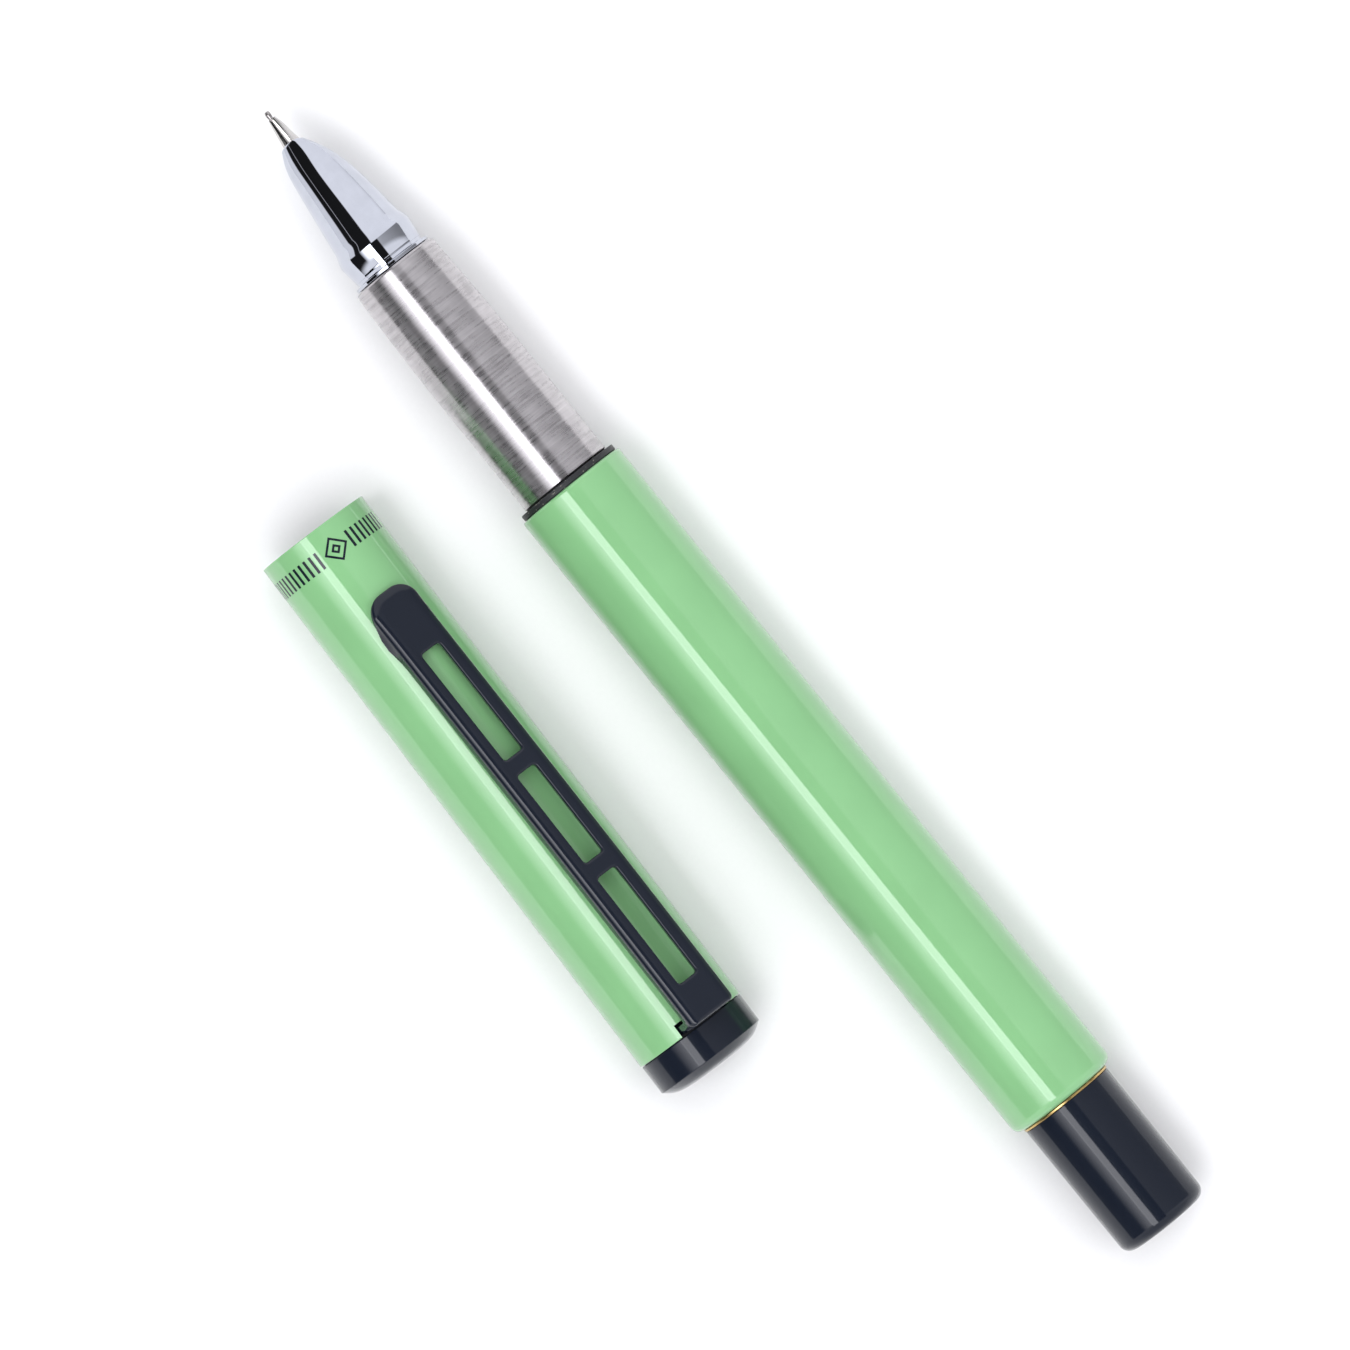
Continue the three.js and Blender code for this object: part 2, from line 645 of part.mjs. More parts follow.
const pen = group(new THREE.Group(), [
  ['nib', nib(), nibSteel],
  ['nib_tipping', nibTipping(), hardMetal],
  ['feed', feed(), blackPlastic],
  ['feed_collector', feedCollector(), blackPlastic],
  ['hood', hood(), chrome],
  ['hood_ring', hoodRing(), chrome],
  ['hood_seal', hoodSeal(), rubber],
  ['grip_sleeve', gripSleeve(), brushedSteel],
  ['section_core', sectionCore(), greyPlastic],
  ['section_o_ring', sectionORing(), rubber],
  ['joint_ring', jointRing(), speckled],
  ['barrel_tube', barrelTube(), greenLacquer],
  ['barrel_thread_bush', barrelThreadBush(), brass],
  ['tail_trim_ring', tailTrimRing(), brass],
  ['tail_plug', tailPlug(), blackLacquer],
  ['tail_lock_ring', tailLockRing(), brass],
  ['converter_tube', converterTube(), clearPlastic],
  ['converter_collar', converterCollar(), chrome],
  ['converter_end_bush', converterEndBush(), greyPlastic],
  ['converter_spindle', converterSpindle(), brushedSteel],
  ['converter_knob', converterKnob(), blackPlastic],
  ['converter_piston_rod', converterPistonRod(), greyPlastic],
  ['converter_piston_seal', converterPistonSeal(), rubber],
  ['agitator_ball', agitatorBall(), hardMetal],
]);
pen.rotation.x = penRoll;
pen.position.z = barrelRadius;

const cap = group(new THREE.Group(), [
  ['cap_tube', capTube(), greenLacquer],
  ['cap_liner', capLiner(), blackPlastic],
  ['inner_cap', innerCap(), blackPlastic],
  ['clip_bracket', clipBracket(), brushedSteel],
  ['clip', clip(), blackLacquer],
  ['finial', finial(), blackLacquer],
  ['finial_screw', finialScrew(), brass],
]);
cap.rotation.set(capRoll, 0, capYaw, 'ZYX');
cap.position.set(capMouth.x, capMouth.y, capRadius);

const placed = new THREE.Group().add(pen, cap);
const extent = new THREE.Box3().setFromObject(placed, true);
const middle = extent.getCenter(new THREE.Vector3());
placed.position.set(-middle.x, -middle.y, -extent.min.z);

export default new THREE.Group().add(placed);
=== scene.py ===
"""A slip-cap fountain pen with a semi-hooded nib, lying beside its cap in soft studio light."""
import json
import math

import bmesh
import bpy
import numpy as np
from mathutils import Matrix, Vector


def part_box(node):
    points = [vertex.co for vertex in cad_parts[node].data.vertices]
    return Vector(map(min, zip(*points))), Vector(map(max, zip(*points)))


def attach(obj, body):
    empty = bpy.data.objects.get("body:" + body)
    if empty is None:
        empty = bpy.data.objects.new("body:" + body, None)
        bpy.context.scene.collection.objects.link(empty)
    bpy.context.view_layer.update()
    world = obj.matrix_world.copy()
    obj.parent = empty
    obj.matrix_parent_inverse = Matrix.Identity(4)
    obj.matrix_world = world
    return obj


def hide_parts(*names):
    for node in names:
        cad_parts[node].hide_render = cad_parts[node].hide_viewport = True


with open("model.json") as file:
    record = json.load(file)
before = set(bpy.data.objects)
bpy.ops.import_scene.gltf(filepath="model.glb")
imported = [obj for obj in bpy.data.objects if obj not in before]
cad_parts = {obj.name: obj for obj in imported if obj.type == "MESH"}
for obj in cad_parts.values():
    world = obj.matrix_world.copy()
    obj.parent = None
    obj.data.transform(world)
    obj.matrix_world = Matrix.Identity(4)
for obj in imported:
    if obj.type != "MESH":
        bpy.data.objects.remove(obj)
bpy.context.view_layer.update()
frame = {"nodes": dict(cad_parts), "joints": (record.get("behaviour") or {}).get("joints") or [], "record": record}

RECORD = frame["record"]
NODES = frame["nodes"]
BODY = {node: body for body, nodes in RECORD["behaviour"]["bodies"].items() for node in nodes}
SLOT = {part["node"]: part["material_slot"] for part in RECORD["subparts"]}

MM = 0.001
SAME = 0.004  # mm, below which two places on an outline are one
TOUCHING = 0.001  # mm, below which two points of a finished outline are one
EDGE = 0.04  # mm, how far back a sharp corner is usually eased
CORNER_SHARE = 0.35  # the most of a straight that one eased corner takes
OUTER_SIDES = 160
INNER_SIDES = 96
PEN_ROLL = math.radians(20)  # how far the nib's crest leans towards the cap

# ---- Local frames ----


class Axes:
    """A local frame in mm: X along a piece, and Z up through the nib's crest or the clip."""

    def __init__(self, origin, along, side):
        self.origin = Vector(origin)
        along = Vector(along).normalized()
        side = Vector(side).normalized()
        self.turn = Matrix((along, side, along.cross(side))).transposed()

    def place(self, point):
        return self.origin + self.turn @ (Vector(point) * MM)

    def read(self, node):
        """The CAD node's vertices in this frame."""
        points = np.array([vertex.co for vertex in NODES[node].data.vertices])
        return (points - np.array(self.origin)) @ np.array(self.turn) / MM


def pen_axes():
    low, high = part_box("barrel_tube")
    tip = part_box("nib_tipping")[0].x
    middle = (low + high) / 2
    return Axes((tip, middle.y, middle.z), (1, 0, 0), (0, math.cos(PEN_ROLL), math.sin(PEN_ROLL)))


def cap_axes():
    finial = next(mount for mount in RECORD["mounts"] if mount["name"] == "finial_end")
    hinge = next(joint for joint in frame["joints"] if joint["name"] == "clip_flex")
    along = Vector(finial["axis"])
    end = Vector(finial["pos_m"])
    mouth = min((vertex.co - end).dot(along) for vertex in NODES["cap_tube"].data.vertices)
    return Axes(end + along * mouth, along, hinge["axis"])


PEN = pen_axes()
CAP = cap_axes()

# ---- Outlines: [along, radius] points ----


def outline(node, axes, angle=0.0):
    """The outline of a turned CAD node in the half plane at an angle from the crest."""
    points = axes.read(node)
    along, radius = points[:, 0], np.hypot(points[:, 1], points[:, 2])
    turn = np.degrees(np.arctan2(-points[:, 1], points[:, 2])) - angle
    near = (radius < SAME) | (np.abs((turn + 180) % 360 - 180) < 0.5)
    spots, index = [], {}
    for i in np.flatnonzero(near):
        spot = (along[i], radius[i])
        match = [k for k, other in enumerate(spots) if math.dist(spot, other) < SAME]
        if not match:
            match = [len(spots)]
            spots.append(spot)
        index[i] = match[0]
    links = [set() for _ in spots]
    for edge in NODES[node].data.edges:
        a, b = (index.get(i) for i in edge.vertices)
        if a is not None and b is not None and a != b:
            links[a].add(b)
            links[b].add(a)
    bridge_flat_ends(spots, links)
    return walk(spots, links)


def bridge_flat_ends(spots, links):
    """Joins the outline across flat faces, whose own edges may run at other angles."""
    wanting = [k for k, (_, radius) in enumerate(spots)
               if len(links[k]) < (1 if radius < SAME else 2)]
    wanting.sort(key=lambda k: (round(spots[k][0], 2), spots[k][1]))
    while wanting:
        first = wanting.pop(0)
        same = [k for k in wanting if abs(spots[k][0] - spots[first][0]) < SAME]
        if len(same) % 2 == 0:
            spots.append((spots[first][0], 0.0))
            links.append(set())
            partner = len(spots) - 1
        else:
            partner = same[0]
            wanting.remove(partner)
        links[first].add(partner)
        links[partner].add(first)


def walk(spots, links):
    """The linked spots in order, and whether they close on themselves."""
    ends = [k for k, (_, radius) in enumerate(spots) if radius < SAME]
    here = ends[0] if ends else 0
    path = [here]
    while True:
        onward = [k for k in links[here] if k not in path]
        if not onward:
            break
        here = onward[0]
        path.append(here)
    return [Vector(spots[k]) for k in path], not ends


def eased(points, closed, edge=EDGE):
    """An outline with its sharp corners rounded and a smooth curve through its shallow ones."""
    sharp, shallow = math.radians(36), math.radians(1)
    count = len(points)

    def turning(i):
        if not closed and i in (0, count - 1):
            return 0.0
        before = points[i] - points[i - 1]
        after = points[(i + 1) % count] - points[i]
        return before.angle(after, 0.0)

    turns = [turning(i) for i in range(count)]

    def tangent(i, direction):
        if shallow < turns[i] <= sharp:
            return (points[(i + 1) % count] - points[i - 1]).normalized()
        return direction

    result = []
    for i in range(count if closed else count - 1):
        k = (i + 1) % count
        step = points[k] - points[i]
        length, direction = step.length, step.normalized()
        trim = min(edge, CORNER_SHARE * length)
        start = points[i] + direction * (trim if turns[i] > sharp else 0)
        end = points[k] - direction * (trim if turns[k] > sharp else 0)
        leave, arrive = tangent(i, direction), tangent(k, direction)
        result.append(start)
        if leave == direction and arrive == direction:
            support = min(3 * edge, 0.3 * (end - start).length)
            result += [start + direction * support, end - direction * support]
        else:
            result += curve_between(start, end, leave, arrive, 6)
        result.append(end)
        if turns[k] > sharp:
            after = points[(k + 1) % count] - points[k]
            next_trim = min(edge, CORNER_SHARE * after.length)
            landing = points[k] + after.normalized() * next_trim
            for t in (0.25, 0.5, 0.75):
                result.append(end * (1 - t) ** 2 + points[k] * 2 * t * (1 - t) + landing * t * t)
    low, high = min(p.x for p in points), max(p.x for p in points)
    widest = max(p.y for p in points)
    result = [Vector((min(max(p.x, low), high), min(p.y, widest))) for p in result]
    return distinct(result, closed)


def curve_between(start, end, leave, arrive, steps):
    """Points inside a cubic curve between two places with given directions."""
    length = (end - start).length
    inside = []
    for n in range(1, steps):
        t = n / steps
        inside.append(start * (2 * t**3 - 3 * t**2 + 1) + leave * length * (t**3 - 2 * t**2 + t)
                      + end * (3 * t**2 - 2 * t**3) + arrive * length * (t**3 - t**2))
    return inside


def distinct(points, closed):
    """The points without those that touch the one before."""
    kept = [points[0]]
    for point in points[1:]:
        if (point - kept[-1]).length > TOUCHING:
            kept.append(point)
    if closed and (kept[0] - kept[-1]).length <= TOUCHING:
        kept.pop()
    return kept


def dense(points, low, high, step):
    """The outline with extra points where it runs along between two stations."""
    result = []
    for a, b in zip(points, points[1:] + points[:1]):
        result.append(a)
        covered = min(max(a.x, b.x), high) - max(min(a.x, b.x), low)
        if covered > step:
            count = math.ceil(covered / step)
            cuts = [low + (high - low) * n / count for n in range(count + 1)]
            shares = sorted((cut - a.x) / (b.x - a.x) for cut in cuts)
            result += [a.lerp(b, share) for share in shares if 0.0001 < share < 0.9999]
    return result


def glide(stations, at):
    """Smooth reading of stations [along, a, b, ...] at one place."""
    table = np.array(stations, float)
    xs, values = table[:, 0], table[:, 1:]
    slopes = np.gradient(values, xs, axis=0)
    at = min(max(at, xs[0]), xs[-1])
    k = min(max(int(np.searchsorted(xs, at)) - 1, 0), len(xs) - 2)
    width = xs[k + 1] - xs[k]
    t = (at - xs[k]) / width
    return (values[k] * (2 * t**3 - 3 * t**2 + 1) + slopes[k] * width * (t**3 - 2 * t**2 + t)
            + values[k + 1] * (3 * t**2 - 2 * t**3) + slopes[k + 1] * width * (t**3 - t**2))


# ---- Meshes ----


def circle(along, radius, sides, shape=None):
    """One ring of a turned piece. The shape, if given, changes the radius with place and angle."""
    if radius < SAME:
        return [(along, 0, 0)]
    ring = []
    for n in range(sides):
        angle = 2 * math.pi * n / sides
        r = shape(along, angle, radius) if shape else radius
        ring.append((along, -r * math.sin(angle), r * math.cos(angle)))
    return ring


def loft(name, axes, rings, closed=False):
    """A mesh through rings of equal count. A ring of one point is a pole."""
    vertices, rows, faces = [], [], []
    for ring in rings:
        rows.append(range(len(vertices), len(vertices) + len(ring)))
        vertices += [axes.place(point) for point in ring]
    for a, b in zip(rows, rows[1:] + (rows[:1] if closed else [])):
        count = max(len(a), len(b))
        for n in range(count):
            m = (n + 1) % count
            corners = [a[n % len(a)], a[m % len(a)], b[m % len(b)], b[n % len(b)]]
            faces.append(list(dict.fromkeys(corners)))
    if not closed:
        faces += [list(row) for row in (rows[0], rows[-1]) if len(row) > 2]
    return as_object(name, vertices, faces)


def as_object(name, vertices, faces, sharp=50):
    """A new object whose faces all look outwards."""
    mesh = bpy.data.meshes.new(name)
    mesh.from_pydata([tuple(vertex) for vertex in vertices], [], faces)
    solid = bmesh.new()
    solid.from_mesh(mesh)
    bmesh.ops.recalc_face_normals(solid, faces=solid.faces)
    solid.to_mesh(mesh)
    solid.free()
    piece = bpy.data.objects.new(name, mesh)
    bpy.context.scene.collection.objects.link(piece)
    smooth(piece, sharp)
    return piece


def smooth(piece, sharp=50):
    """Smooth shading, apart from edges sharper than an angle in degrees."""
    piece.data.polygons.foreach_set("use_smooth", [True] * len(piece.data.polygons))
    piece.data.set_sharp_from_angle(angle=math.radians(sharp))


def settle(piece):
    """Applies a piece's modifiers."""
    graph = bpy.context.evaluated_depsgraph_get()
    mesh = bpy.data.meshes.new_from_object(piece.evaluated_get(graph))
    piece.modifiers.clear()
    piece.data = mesh
    return piece


def cut(piece, *tools):
    """Takes each tool away from a piece."""
    for tool in tools:
        change = piece.modifiers.new("cut", "BOOLEAN")
        change.operation = "DIFFERENCE"
        change.solver = "EXACT"
        change.object = tool
        bpy.context.view_layer.update()
        settle(piece)
        bpy.data.objects.remove(tool)
    smooth(piece)
    return piece


def block(axes, x, y, z, angle=0.0):
    """A cutting box between limits on each axis, turned about X."""
    turn = Matrix.Rotation(angle, 3, "X")
    corners = [turn @ Vector((a, b, c)) for a in x for b in y for c in z]
    faces = [(0, 1, 3, 2), (4, 6, 7, 5), (0, 4, 5, 1), (2, 3, 7, 6), (0, 2, 6, 4), (1, 5, 7, 3)]
    return as_object("tool", [axes.place(corner) for corner in corners], faces)


def dress(piece, node):
    """Puts a finished piece in the place of its CAD node."""
    piece.name = piece.data.name = node + "_finished"
    piece.data.materials.clear()
    piece.data.materials.append(material(SLOT[node]))
    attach(piece, BODY[node])
    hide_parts(node)
    return piece


def turned(node, axes, sides, edge=EDGE, angle=0.0, shape=None, refine=None):
    """A finely turned version of a CAD node, with its edges eased."""
    points, closed = outline(node, axes, angle)
    points = eased(points, closed, edge)
    if refine:
        points = dense(points, *refine)
    rings = [circle(point.x, point.y, sides, shape) for point in points]
    return loft(node, axes, rings, closed)


# ---- Nib, feed and hood ----

LIP = 3.4  # mm from the nib's tip to the hood's lip
LIP_HEIGHT = 1.15  # of the slanted mouth above the pen's axis, at the lip
SLICE_END = LIP + 5.8  # behind the mouth
LAW_END = LIP + 10.1  # where the hood's shaped front meets its turned rear

# Stations from the lip: half width, height of the crest, height of the belly
HOOD_LINES = [
    (-0.4, 0.76, 1.12, 0.55), (0.0, 1.00, 1.25, 0.40), (0.55, 1.33, 1.43, 0.12),
    (1.3, 1.74, 1.66, -0.36), (2.1, 2.07, 1.88, -1.02), (3.0, 2.32, 2.08, -1.74),
    (3.9, 2.51, 2.25, -2.30), (5.2, 2.73, 2.47, -2.78), (7.2, 3.01, 2.80, -3.14),
    (9.2, 3.24, 3.17, -3.28), (10.1, 3.34, 3.34, -3.34),
]
HOOD_WALLS = [0.18, 0.18, 0.18, 0.18, 0.20, 0.25, 0.27, 0.30, 0.38]
HOOD_BORE = 2.5
BORE_START = LIP + 9.2
SHOULDER = (14.9, 3.685)  # the widest place of the hood, as along and radius


def hood():
    """A polished shell with a slanted mouth over the nib."""
    outside = [(LIP + x, width, (crest - belly) / 2, (crest + belly) / 2)
               for x, width, crest, belly in HOOD_LINES]
    inside = [(x, width - wall, height - wall, centre)
              for (x, width, height, centre), wall in zip(outside, HOOD_WALLS)]
    inside.append((BORE_START, HOOD_BORE, HOOD_BORE, 0.0))
    angles = [2 * math.pi * n / OUTER_SIDES for n in range(OUTER_SIDES)]

    def spot(law, along, angle):
        width, height, centre = glide(law, along)
        return Vector((along, -width * math.sin(angle), centre + height * math.cos(angle)))

    def sliced(law, angle):
        """Where the slanted mouth meets the surface at this angle."""
        low, high = LIP - 0.4, SLICE_END
        for _ in range(30):
            middle = (low + high) / 2
            beyond = middle - LIP - LIP_HEIGHT + spot(law, middle, angle).z
            low, high = (low, middle) if beyond > 0 else (middle, high)
        return high

    def front_rings(law, steps):
        starts = [sliced(law, angle) + 0.05 for angle in angles]
        return [[spot(law, start + (SLICE_END - start) * n / steps, angle)
                 for start, angle in zip(starts, angles)] for n in range(steps + 1)]

    def rim(share):
        """A ring on the mouth's own face, part of the way from outside to inside."""
        ring = []
        for angle in angles:
            outer = spot(outside, sliced(outside, angle), angle)
            inner = spot(inside, sliced(inside, angle), angle)
            ring.append(outer.lerp(inner, share))
        return ring

    steps = 40
    middle = [SLICE_END + (LAW_END - SLICE_END) * n / steps for n in range(1, steps + 1)]
    points, _ = outline("hood", PEN, 180)
    shoulder = Vector(SHOULDER)
    rear = [point for point in rolled(points) if point.x > shoulder.x]
    corner = Vector((LAW_END, outside[-1][1]))
    rear = eased([corner, shoulder, *rear, Vector((BORE_START, HOOD_BORE))], False, 0.03)
    outer = front_rings(outside, steps) + [[spot(outside, x, a) for a in angles] for x in middle]
    behind = [circle(point.x, point.y, OUTER_SIDES) for point in rear[1:]]
    inner = front_rings(inside, steps)[::-1]
    return loft("hood", PEN, outer + behind + inner + [rim(0.8), rim(0.2)], True)


def rolled(points):
    """A closed outline that starts at its frontmost point on the outside and runs rearwards."""
    start = min(range(len(points)), key=lambda k: (round(points[k].x, 1), -points[k].y))
    points = points[start:] + points[:start]
    if points[1].y < points[-1].y:
        points = points[:1] + points[:0:-1]
    return points


# Stations from the tip: radius of the blank, height of its centre, half width of the plan
NIB_LAW = [
    (0.75, 0.55, 0.25, 0.33), (1.6, 0.74, 0.10, 0.50), (LIP, 1.28, -0.30, 0.80),
    (5.0, 1.39, -0.20, 1.15), (8.0, 1.60, 0.0, 1.50), (13.2, 1.60, 0.0, 1.50),
]
NIB_THICKNESS = 0.2
SLIT = 0.03


def nib():
    """Two tines of folded sheet with a fine slit, as a skin closed round its edges."""
    steps, side_steps = 72, 14
    rings = []
    for n in range(steps + 1):
        along = NIB_LAW[0][0] + (NIB_LAW[-1][0] - NIB_LAW[0][0]) * n / steps
        radius, centre, half = glide(NIB_LAW, along)
        side = [half * m / side_steps for m in range(side_steps, 0, -1)]
        depth = 0.12 if along < 5.8 else 0.0
        profile = [(y, 0) for y in side] + [(SLIT / 2, 0), (SLIT / 2 - 0.005, depth)]
        top = profile + [(-y, drop) for y, drop in reversed(profile)]
        upper = [(along, y, centre + math.sqrt(radius**2 - y**2) - drop) for y, drop in top]
        inner = radius - NIB_THICKNESS
        lower = [(along, y, centre + math.sqrt(max(inner**2 - y**2, 0.001)))
                 for y, _ in reversed(top)]
        lower = [(x, y, min(z, above[2] - 0.03))
                 for (x, y, z), above in zip(lower, reversed(upper))]
        rings.append(upper + lower)
    return loft("nib", PEN, rings)


def nib_tipping():
    """A pellet of hard metal, drawn out into the tines behind it."""
    front, back, radius, height = 0.0, 1.05, 0.30, 0.62
    steps = 32
    rings = []
    for n in range(steps + 1):
        angle = math.pi * n / steps
        share = (1 - math.cos(angle)) / 2
        along = front + (back - front) * share ** 1.3
        size = radius * math.sin(angle) ** 0.75 * (1 - 0.25 * share)
        rings.append([(x, y, height + 0.1 * share + 0.85 * z)
                      for x, y, z in circle(along, size, steps)])
    return loft("nib_tipping", PEN, rings)


# Stations from the lip: half width, half height, height of the centre
FEED_LAW = [
    (-1.0, 0.25, 0.12, 0.5), (0.0, 0.62, 0.25, 0.42), (1.0, 0.85, 0.34, 0.42),
    (2.1, 1.05, 0.60, 0.35), (4.6, 1.27, 1.27, 0.0), (5.0, 1.27, 1.27, 0.0),
]


def feed():
    """The tongue under the nib, with fins cut across its belly inside the hood."""
    end = PEN.read("feed")[:, 0].max()
    fin_start, pitch, gap, fins, groove_height = LIP + 4.8, 0.85, 0.4, 6, 0.6
    places = [LIP - 1 + 6 * n / 48 for n in range(49)]
    for n in range(fins):
        start = fin_start + n * pitch
        places += [start - 0.01, start, start + gap, start + gap + 0.01]
    places = sorted(places + [end - 8, end])

    def groove(along, angle, radius):
        between = any(fin_start + n * pitch <= along <= fin_start + n * pitch + gap
                      for n in range(fins))
        if between and math.cos(angle) < -0.45:
            return min(radius, groove_height / abs(math.cos(angle)))
        return radius

    rings = [[(places[0], 0, FEED_LAW[0][3])]]
    for along in places:
        width, height, centre = glide(FEED_LAW, along - LIP)
        rings.append([(x, y, centre + z * height / width)
                      for x, y, z in circle(along, width, INNER_SIDES, groove)])
    rings.append([(end, 0, 0)])
    return loft("feed", PEN, rings)


# ---- Section, converter and barrel ----

THREAD_PITCH = 0.8
THREAD_DEPTH = 0.34


def thread(low, high):
    """A rounded ridge wound round the core between two stations, fading out at its ends."""
    def ridge(along, angle, radius):
        if not low <= along <= high or radius < 4.0:
            return radius
        turns = (along - low) / THREAD_PITCH - angle / (2 * math.pi)
        wave = abs(2 * (turns - math.floor(turns)) - 1)
        crest = min(1.0, max(0.0, 1.6 * wave - 0.3))
        fade = min(1.0, (along - low) / 0.5, (high - along) / 0.5)
        return radius - THREAD_DEPTH * (1 - crest * fade)
    return ridge


def section_core():
    """The moulded core, with the barrel's thread on its widest stretch."""
    points, _ = outline("section_core", PEN)
    radii = [point.y for point in points]
    crest = [point.x for point in points if point.y > max(radii) - SAME]
    low, high = min(crest), max(crest)
    return turned("section_core", PEN, INNER_SIDES, shape=thread(low, high),
                  refine=(low, high, 0.06))


def converter_knob():
    """The knob, with rounded flutes along its grip."""
    low, high = (f(PEN.read("converter_knob")[:, 0]) for f in (min, max))
    flutes, depth, margin = 16, 0.22, 1.3

    def flute(along, angle, radius):
        if radius < 3 or not low + margin <= along <= high - margin:
            return radius
        ends = min(1.0, (along - low - margin) / 0.4, (high - margin - along) / 0.4)
        return radius - depth * ends * (0.5 + 0.5 * math.cos(flutes * angle)) ** 0.6
    return turned("converter_knob", PEN, 192, 0.1, 15, flute, (low, high, 0.2))


def agitator_ball():
    steps = 24
    points = PEN.read("agitator_ball")
    centre = (points.min(0) + points.max(0)) / 2
    radius = (points.max(0) - points.min(0))[0] / 2
    rings = []
    for n in range(steps + 1):
        angle = math.pi * n / steps
        ring = circle(-radius * math.cos(angle), radius * math.sin(angle), 32)
        rings.append([tuple(centre + np.array(point)) for point in ring])
    return loft("agitator_ball", PEN, rings)


# ---- Cap ----

SLOT_WIDTH = 5.0  # of the notch that the clip's root passes through
TUBE_SLOT_BOTTOM = 2.5  # mm above the cap's axis
FINIAL_SLOT_BOTTOM = 3.5
CLEAR = 7.0  # mm from the cap's axis, outside its tube
FINGER_END = 6.5  # how far the liner's slots run from the mouth
FINGER_GAP = 0.6
SCREW_SLOT_DEPTH = 0.45
SCREW_SLOT_WIDTH = 0.5


def cap_tube():
    """The cap's tube, with the notch for the clip's root."""
    points, closed = outline("cap_tube", CAP, 180)
    end = max(point.x for point in points)
    notch = [x for x in CAP.read("cap_tube")[:, 0] if end - 5 < x < end - 0.1]
    points = dense(eased(points, closed, 0.06), end - 3, end, 0.5)
    tube = loft("cap_tube", CAP, [circle(p.x, p.y, OUTER_SIDES) for p in points], closed)
    half = SLOT_WIDTH / 2
    return cut(tube, block(CAP, (min(notch), end + 1), (-half, half), (TUBE_SLOT_BOTTOM, CLEAR)))


def cap_liner():
    """The springy sleeve, whose mouth end is slotted into fingers."""
    liner = turned("cap_liner", CAP, INNER_SIDES, 0.08, 30, refine=(0.8, 8.0, 1.5))
    half = FINGER_GAP / 2
    slots = [block(CAP, (0, FINGER_END), (-half, half), (-6, 6), math.pi * n / 3)
             for n in range(3)]
    return cut(liner, *slots)


def finial():
    """The button that closes the cap, with the notch for the clip's root in its plug."""
    points, closed = outline("finial", CAP, 180)
    tube_end = CAP.read("cap_tube")[:, 0].max()
    step = min(x for x in CAP.read("finial")[:, 0] if x > tube_end + 0.01)
    points = eased(points, closed, 0.05)
    button = loft("finial", CAP, [circle(p.x, p.y, OUTER_SIDES) for p in points], closed)
    half = SLOT_WIDTH / 2
    return cut(button, block(CAP, (45, step), (-half, half), (FINIAL_SLOT_BOTTOM, CLEAR)))


def finial_screw():
    """The clamping screw, with a slotted head."""
    screw = turned("finial_screw", CAP, 64, 0.06)
    head = CAP.read("finial_screw")[:, 0].min()
    half = SCREW_SLOT_WIDTH / 2
    return cut(screw, block(CAP, (head - 1, head + SCREW_SLOT_DEPTH), (-half, half), (-3, 3)))


# ---- Clip ----

CLIP_SHEET = 0.6  # thickness
# A bend is this far across and down; at the nose and the root it is tighter.
BEND_RUN, BEND_FALL = 0.95, 0.6
NOSE_RADIUS, NOSE_RUN, NOSE_FALL = 1.8, 1.1, 0.34
ROOT_RADIUS, ROOT_RUN, ROOT_THICKNESS = 0.5, 0.35, 0.85
# The back's parabola, as places from the clip's front and its top
BACK_START, BACK_BEND = (0.5, -2.1), (25.245, -0.45)
# Depths of the lower edge below the clip's top
FLANK_DEPTH, FLANK_RISE, NOSE_DEPTH, FOOT_DEPTH = 3.3, 1.7, 2.45, 3.45
FOOT_LENGTH, FOOT_FLARE, FOOT_MIDDLE = 6.6, 0.34, 3.8
# Each window's start and end, from the clip's front
WINDOWS = [(6.3, 17.9), (19.55, 29.05), (30.7, 42.15)]
WINDOW_HALF = 1.0
WINDOW_ROUND = 0.3  # corner radius
WINDOW_EDGE = 0.24  # rounding of the upper edge
WINDOW_FRAME = 0.45  # from a window to the row before it and the row after it
# Places of the mesh's columns across the clip, as shares of its half width
ACROSS = [-1.0, -0.93, -0.75, -0.5, -0.25, 0.0, 0.25, 0.5, 0.75, 0.93, 1.0]


def swell(value, start, end):
    """Goes smoothly from 0 to 1 as the value goes from start to end."""
    share = min(max((value - start) / (end - start), 0), 1)
    return share * share * (3 - 2 * share)


